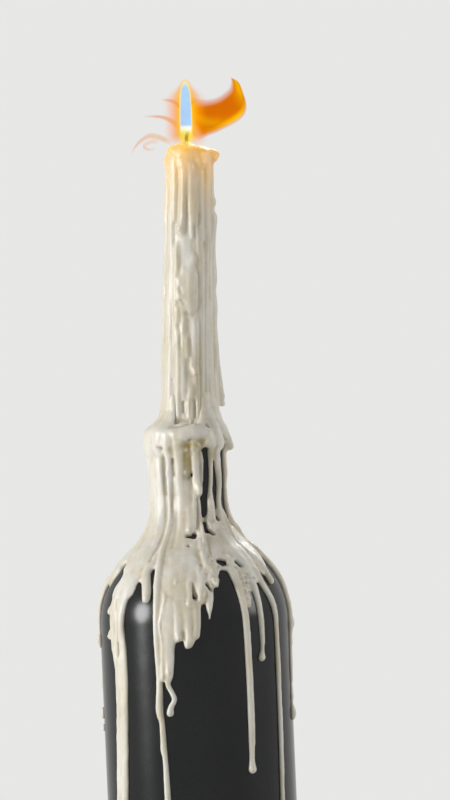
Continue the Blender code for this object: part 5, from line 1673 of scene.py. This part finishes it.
# Share of the height, then red, green, blue and how solid the gas is
BODY_COLOURS = [
    (0.0, (1.0, 0.50, 0.02, 0.12)), (0.09, (1.0, 0.60, 0.02, 0.22)), (0.17, (1.0, 0.85, 0.25, 0.75)),
    (0.20, (1.0, 1.0, 0.80, 0.96)), (0.25, (0.92, 1.0, 1.0, 0.97)), (0.28, (0.20, 0.47, 1.0, 0.97)),
    (0.9, (0.20, 0.50, 1.0, 0.97)), (1.0, (0.40, 0.70, 1.0, 0.9)),
]
SKIN_COLOURS = [
    (0.0, (1.0, 0.70, 0.05, 0.25)), (0.12, (1.0, 0.85, 0.15, 0.30)), (0.20, (1.0, 1.0, 0.60, 0.38)),
    (0.28, (0.85, 1.0, 0.95, 0.34)), (0.9, (0.85, 1.0, 0.95, 0.36)), (0.96, (1.0, 1.0, 0.6, 0.5)),
    (1.0, (1.0, 0.9, 0.3, 0.6)),
]


def flame_radius(share):
    """Radius of the flame at a share of its height."""
    return float(np.interp(share, [s for s, _ in FLAME_OUTLINE], [r for _, r in FLAME_OUTLINE]))


def blend_stops(stops, share):
    """Colour of a list of stops at a share of the height."""
    places = [s for s, _ in stops]
    return [float(np.interp(share, places, [c[k] for _, c in stops])) for k in range(4)]


print("at half its height the flame is", round(2 * flame_radius(0.5), 1), "mm wide")

# %% Body and skin of the flame
SHELL_ROWS, SHELL_COLUMNS = 40, 28


def flame_shell(name, inset, colours):
    """A closed shell that follows the flame's outline, some way inside it."""
    points, tints = [], []
    for k in range(SHELL_ROWS):
        share = k / (SHELL_ROWS - 1)
        radius = max(0.05, flame_radius(share) - inset)
        z = FLAME_FOOT + share * (FLAME_HEIGHT - 1.6 * inset)
        lean = WICK_X - FLAME_LEAN * share
        for c in range(SHELL_COLUMNS):
            turn = 2 * math.pi * c / SHELL_COLUMNS
            points.append((lean + radius * math.cos(turn), radius * math.sin(turn), z))
            tints.append(blend_stops(colours, share))
    flame_object(name, points, grid_faces(SHELL_ROWS, SHELL_COLUMNS, True), tints)


flame_shell("flame_body", RIM, BODY_COLOURS)
flame_shell("flame_skin", 0.0, SKIN_COLOURS)

# %% Glow round the flame
GLOW_REACH = 9.5
GLOW_STRENGTHS = (0.96, 0.45)
TIP = 0.94
GLOW_ROWS, GLOW_COLUMNS = 44, 41
for number, strength in enumerate(GLOW_STRENGTHS):
    turn = math.radians(90 * number)
    points, tints = [], []
    for r in range(GLOW_ROWS):
        up = -0.12 + 1.20 * r / (GLOW_ROWS - 1)
        softness = 4.2 - 3.5 * smooth_step(0.62, 1.0, up)
        for c in range(GLOW_COLUMNS):
            off = -1 + 2 * c / (GLOW_COLUMNS - 1)
            reach = GLOW_REACH * off
            points.append((WICK_X - FLAME_LEAN * up + reach * math.cos(turn), reach * math.sin(turn),
                           FLAME_FOOT + up * FLAME_HEIGHT))
            over_tip = max(0.0, up - TIP) * FLAME_HEIGHT
            beyond = max(0.0, math.hypot(reach, over_tip) - flame_radius(min(up, TIP)) + RIM)
            fade = smooth_step(-0.12, 0.13, up) * (1 - smooth_step(1.0, 1.08, up))
            fade *= math.exp(-(beyond / softness) ** 1.9) * (1 - smooth_step(0.7, 1.0, abs(off)))
            warmth = math.exp(-beyond / 1.5)
            tints.append((1.0, 0.26 + 0.42 * warmth, 0.02 * warmth, strength * fade))
    flame_object(f"flame_glow_{number + 1}", points, grid_faces(GLOW_ROWS, GLOW_COLUMNS), tints)

# %% Stations of the tongue in the draught
# Across the tongue: x and z of its outer edge, x and z of its inner edge, depth.
TONGUE = [
    (1.0, 113.6, 0.6, 130.6, 0.0),
    (4.0, 113.2, 2.7, 130.0, 0.5),
    (7.0, 114.7, 4.8, 129.6, 1.0),
    (10.4, 116.0, 7.0, 129.6, 1.5),
    (13.8, 117.7, 9.5, 130.0, 2.1),
    (16.8, 119.2, 11.7, 130.9, 2.6),
    (19.8, 121.1, 13.6, 132.2, 3.0),
    (21.7, 123.1, 15.0, 133.4, 3.1),
    (22.6, 125.6, 15.8, 134.5, 3.1),
    (22.4, 128.6, 16.2, 135.5, 2.8),
    (21.5, 131.4, 16.4, 136.4, 2.2),
    (20.5, 134.2, 16.4, 137.2, 1.4),
    (19.2, 136.4, 16.3, 137.8, 0.7),
    (16.6, 138.0, 16.0, 138.1, 0.2),
]
TONGUE_STEPS = 6
stations = curve([Vector(s[:4]) for s in TONGUE], lambda here, ahead: TONGUE_STEPS)
depths = np.interp(np.linspace(0, 1, len(stations)), np.linspace(0, 1, len(TONGUE)), [s[4] for s in TONGUE])
print("the tongue is a sheet of", len(stations), "lines")

# %% The tongue in the draught
TONGUE_COLUMNS = 41


def tongue_tint(share, way):
    """Colour at a share across the tongue and some way along it: bright streaks and soft edges."""
    ribbon = bell(share - 0.14, 0.10) * bell(way - 0.45, 0.24)
    branch = bell(share - 0.62 + 1.3 * way, 0.14) * max(0.0, 1 - 2.2 * way)
    root = bell(way, 0.10) * (0.4 + 0.6 * share)
    arm = bell(share - 0.40, 0.34) * clamp((way - 0.5) / 0.25) * 0.75
    hollow = bell(share - 0.36, 0.10) * bell(way - 0.47, 0.10)
    bright = min(1.0, max(ribbon, 0.8 * branch, 0.8 * root, arm)) * (1 - 0.5 * hollow)
    edge = clamp(share / 0.12) * clamp((1 - share) / 0.22) * clamp((1 - way) / 0.06)
    low_root = clamp((share + way * 4 - 0.12) / 0.5)
    return (0.70 + 0.24 * bright, 0.155 + 0.345 * bright, 0.0, 0.998 * edge ** 0.7 * low_root)


points, tints = [], []
for k, (x0, z0, x1, z1) in enumerate(stations):
    for c in range(TONGUE_COLUMNS):
        share = c / (TONGUE_COLUMNS - 1)
        points.append((x0 + (x1 - x0) * share, depths[k] * 1.2 + 1.6 * math.sin(math.pi * share) - 1.0,
                       z0 + (z1 - z0) * share))
        tints.append(tongue_tint(share, k / (len(stations) - 1)))
flame_object("flame_tongue", points, grid_faces(len(stations), TONGUE_COLUMNS), tints)

# %% Faint wisps on the other side
# Stations along a wisp: x, depth, z, width; then how solid it is.
WISPS = {
    "flame_wisp_low": ([(-7, 0, 112.4, 2.6), (-12, -1.0, 114.4, 3.0), (-16, -2.0, 114.8, 2.6),
                        (-19.6, -2.0, 112.6, 2.2), (-22.0, -1.5, 109.6, 1.6),
                        (-23.4, -1.0, 106.4, 0.8)], 0.45),
    "flame_wisp_curl": ([(-12, 0.6, 112.8, 1.6), (-15.4, 1.0, 112.6, 2.2), (-18.2, 1.0, 110.8, 2.2),
                         (-15.4, 0.8, 109.6, 1.4), (-12.6, 0.6, 110.4, 0.8)], 0.30),
    "flame_wisp_middle": ([(-4, 0, 118.6, 4.0), (-8, 0.8, 121.4, 2.6), (-12, 1.4, 122.6, 1.6),
                           (-18.5, 1.4, 122.7, 0.8)], 0.62),
    "flame_wisp_high": ([(-3.6, 0, 126.4, 3.4), (-6.5, -0.8, 128.6, 2.0), (-11.6, -1.2, 129.3, 0.9)], 0.55),
}
WISP_COLUMNS = 13
WISP_STEPS = 8
for name, (path, solid) in WISPS.items():
    points, tints = [], []
    stations = curve([Vector(s) for s in path], lambda here, ahead: WISP_STEPS)
    for k, (x, depth, z, width) in enumerate(stations):
        way = k / (len(stations) - 1)
        for c in range(WISP_COLUMNS):
            off = -1 + 2 * c / (WISP_COLUMNS - 1)
            points.append((x, depth + 0.8 * off * off, z + 0.5 * width * off))
            soft = (1 - off * off) * clamp((1 - way) / 0.3) * clamp(way / 0.1)
            tints.append((0.85, 0.20 + 0.16 * (1 - way), 0.01, solid * soft))
    flame_object(name, points, grid_faces(len(stations), WISP_COLUMNS), tints)

# %% The flame's own light
LIGHT_HEIGHT = 14
flame_light = bpy.data.lights.new("flame_light", "POINT")
flame_light.color = (1.0, 0.55, 0.20)
flame_light.energy = 0.008
flame_light.shadow_soft_size = 0.003
flame_lamp = bpy.data.objects.new("flame_light", flame_light)
flame_lamp.location = stand @ Vector((WICK_X * MM, 0, (FLAME_FOOT + LIGHT_HEIGHT) * MM))
scene.collection.objects.link(flame_lamp)
print("flame from", round(FLAME_FOOT, 1), "to", round(FLAME_FOOT + FLAME_HEIGHT, 1), "mm above the lip")
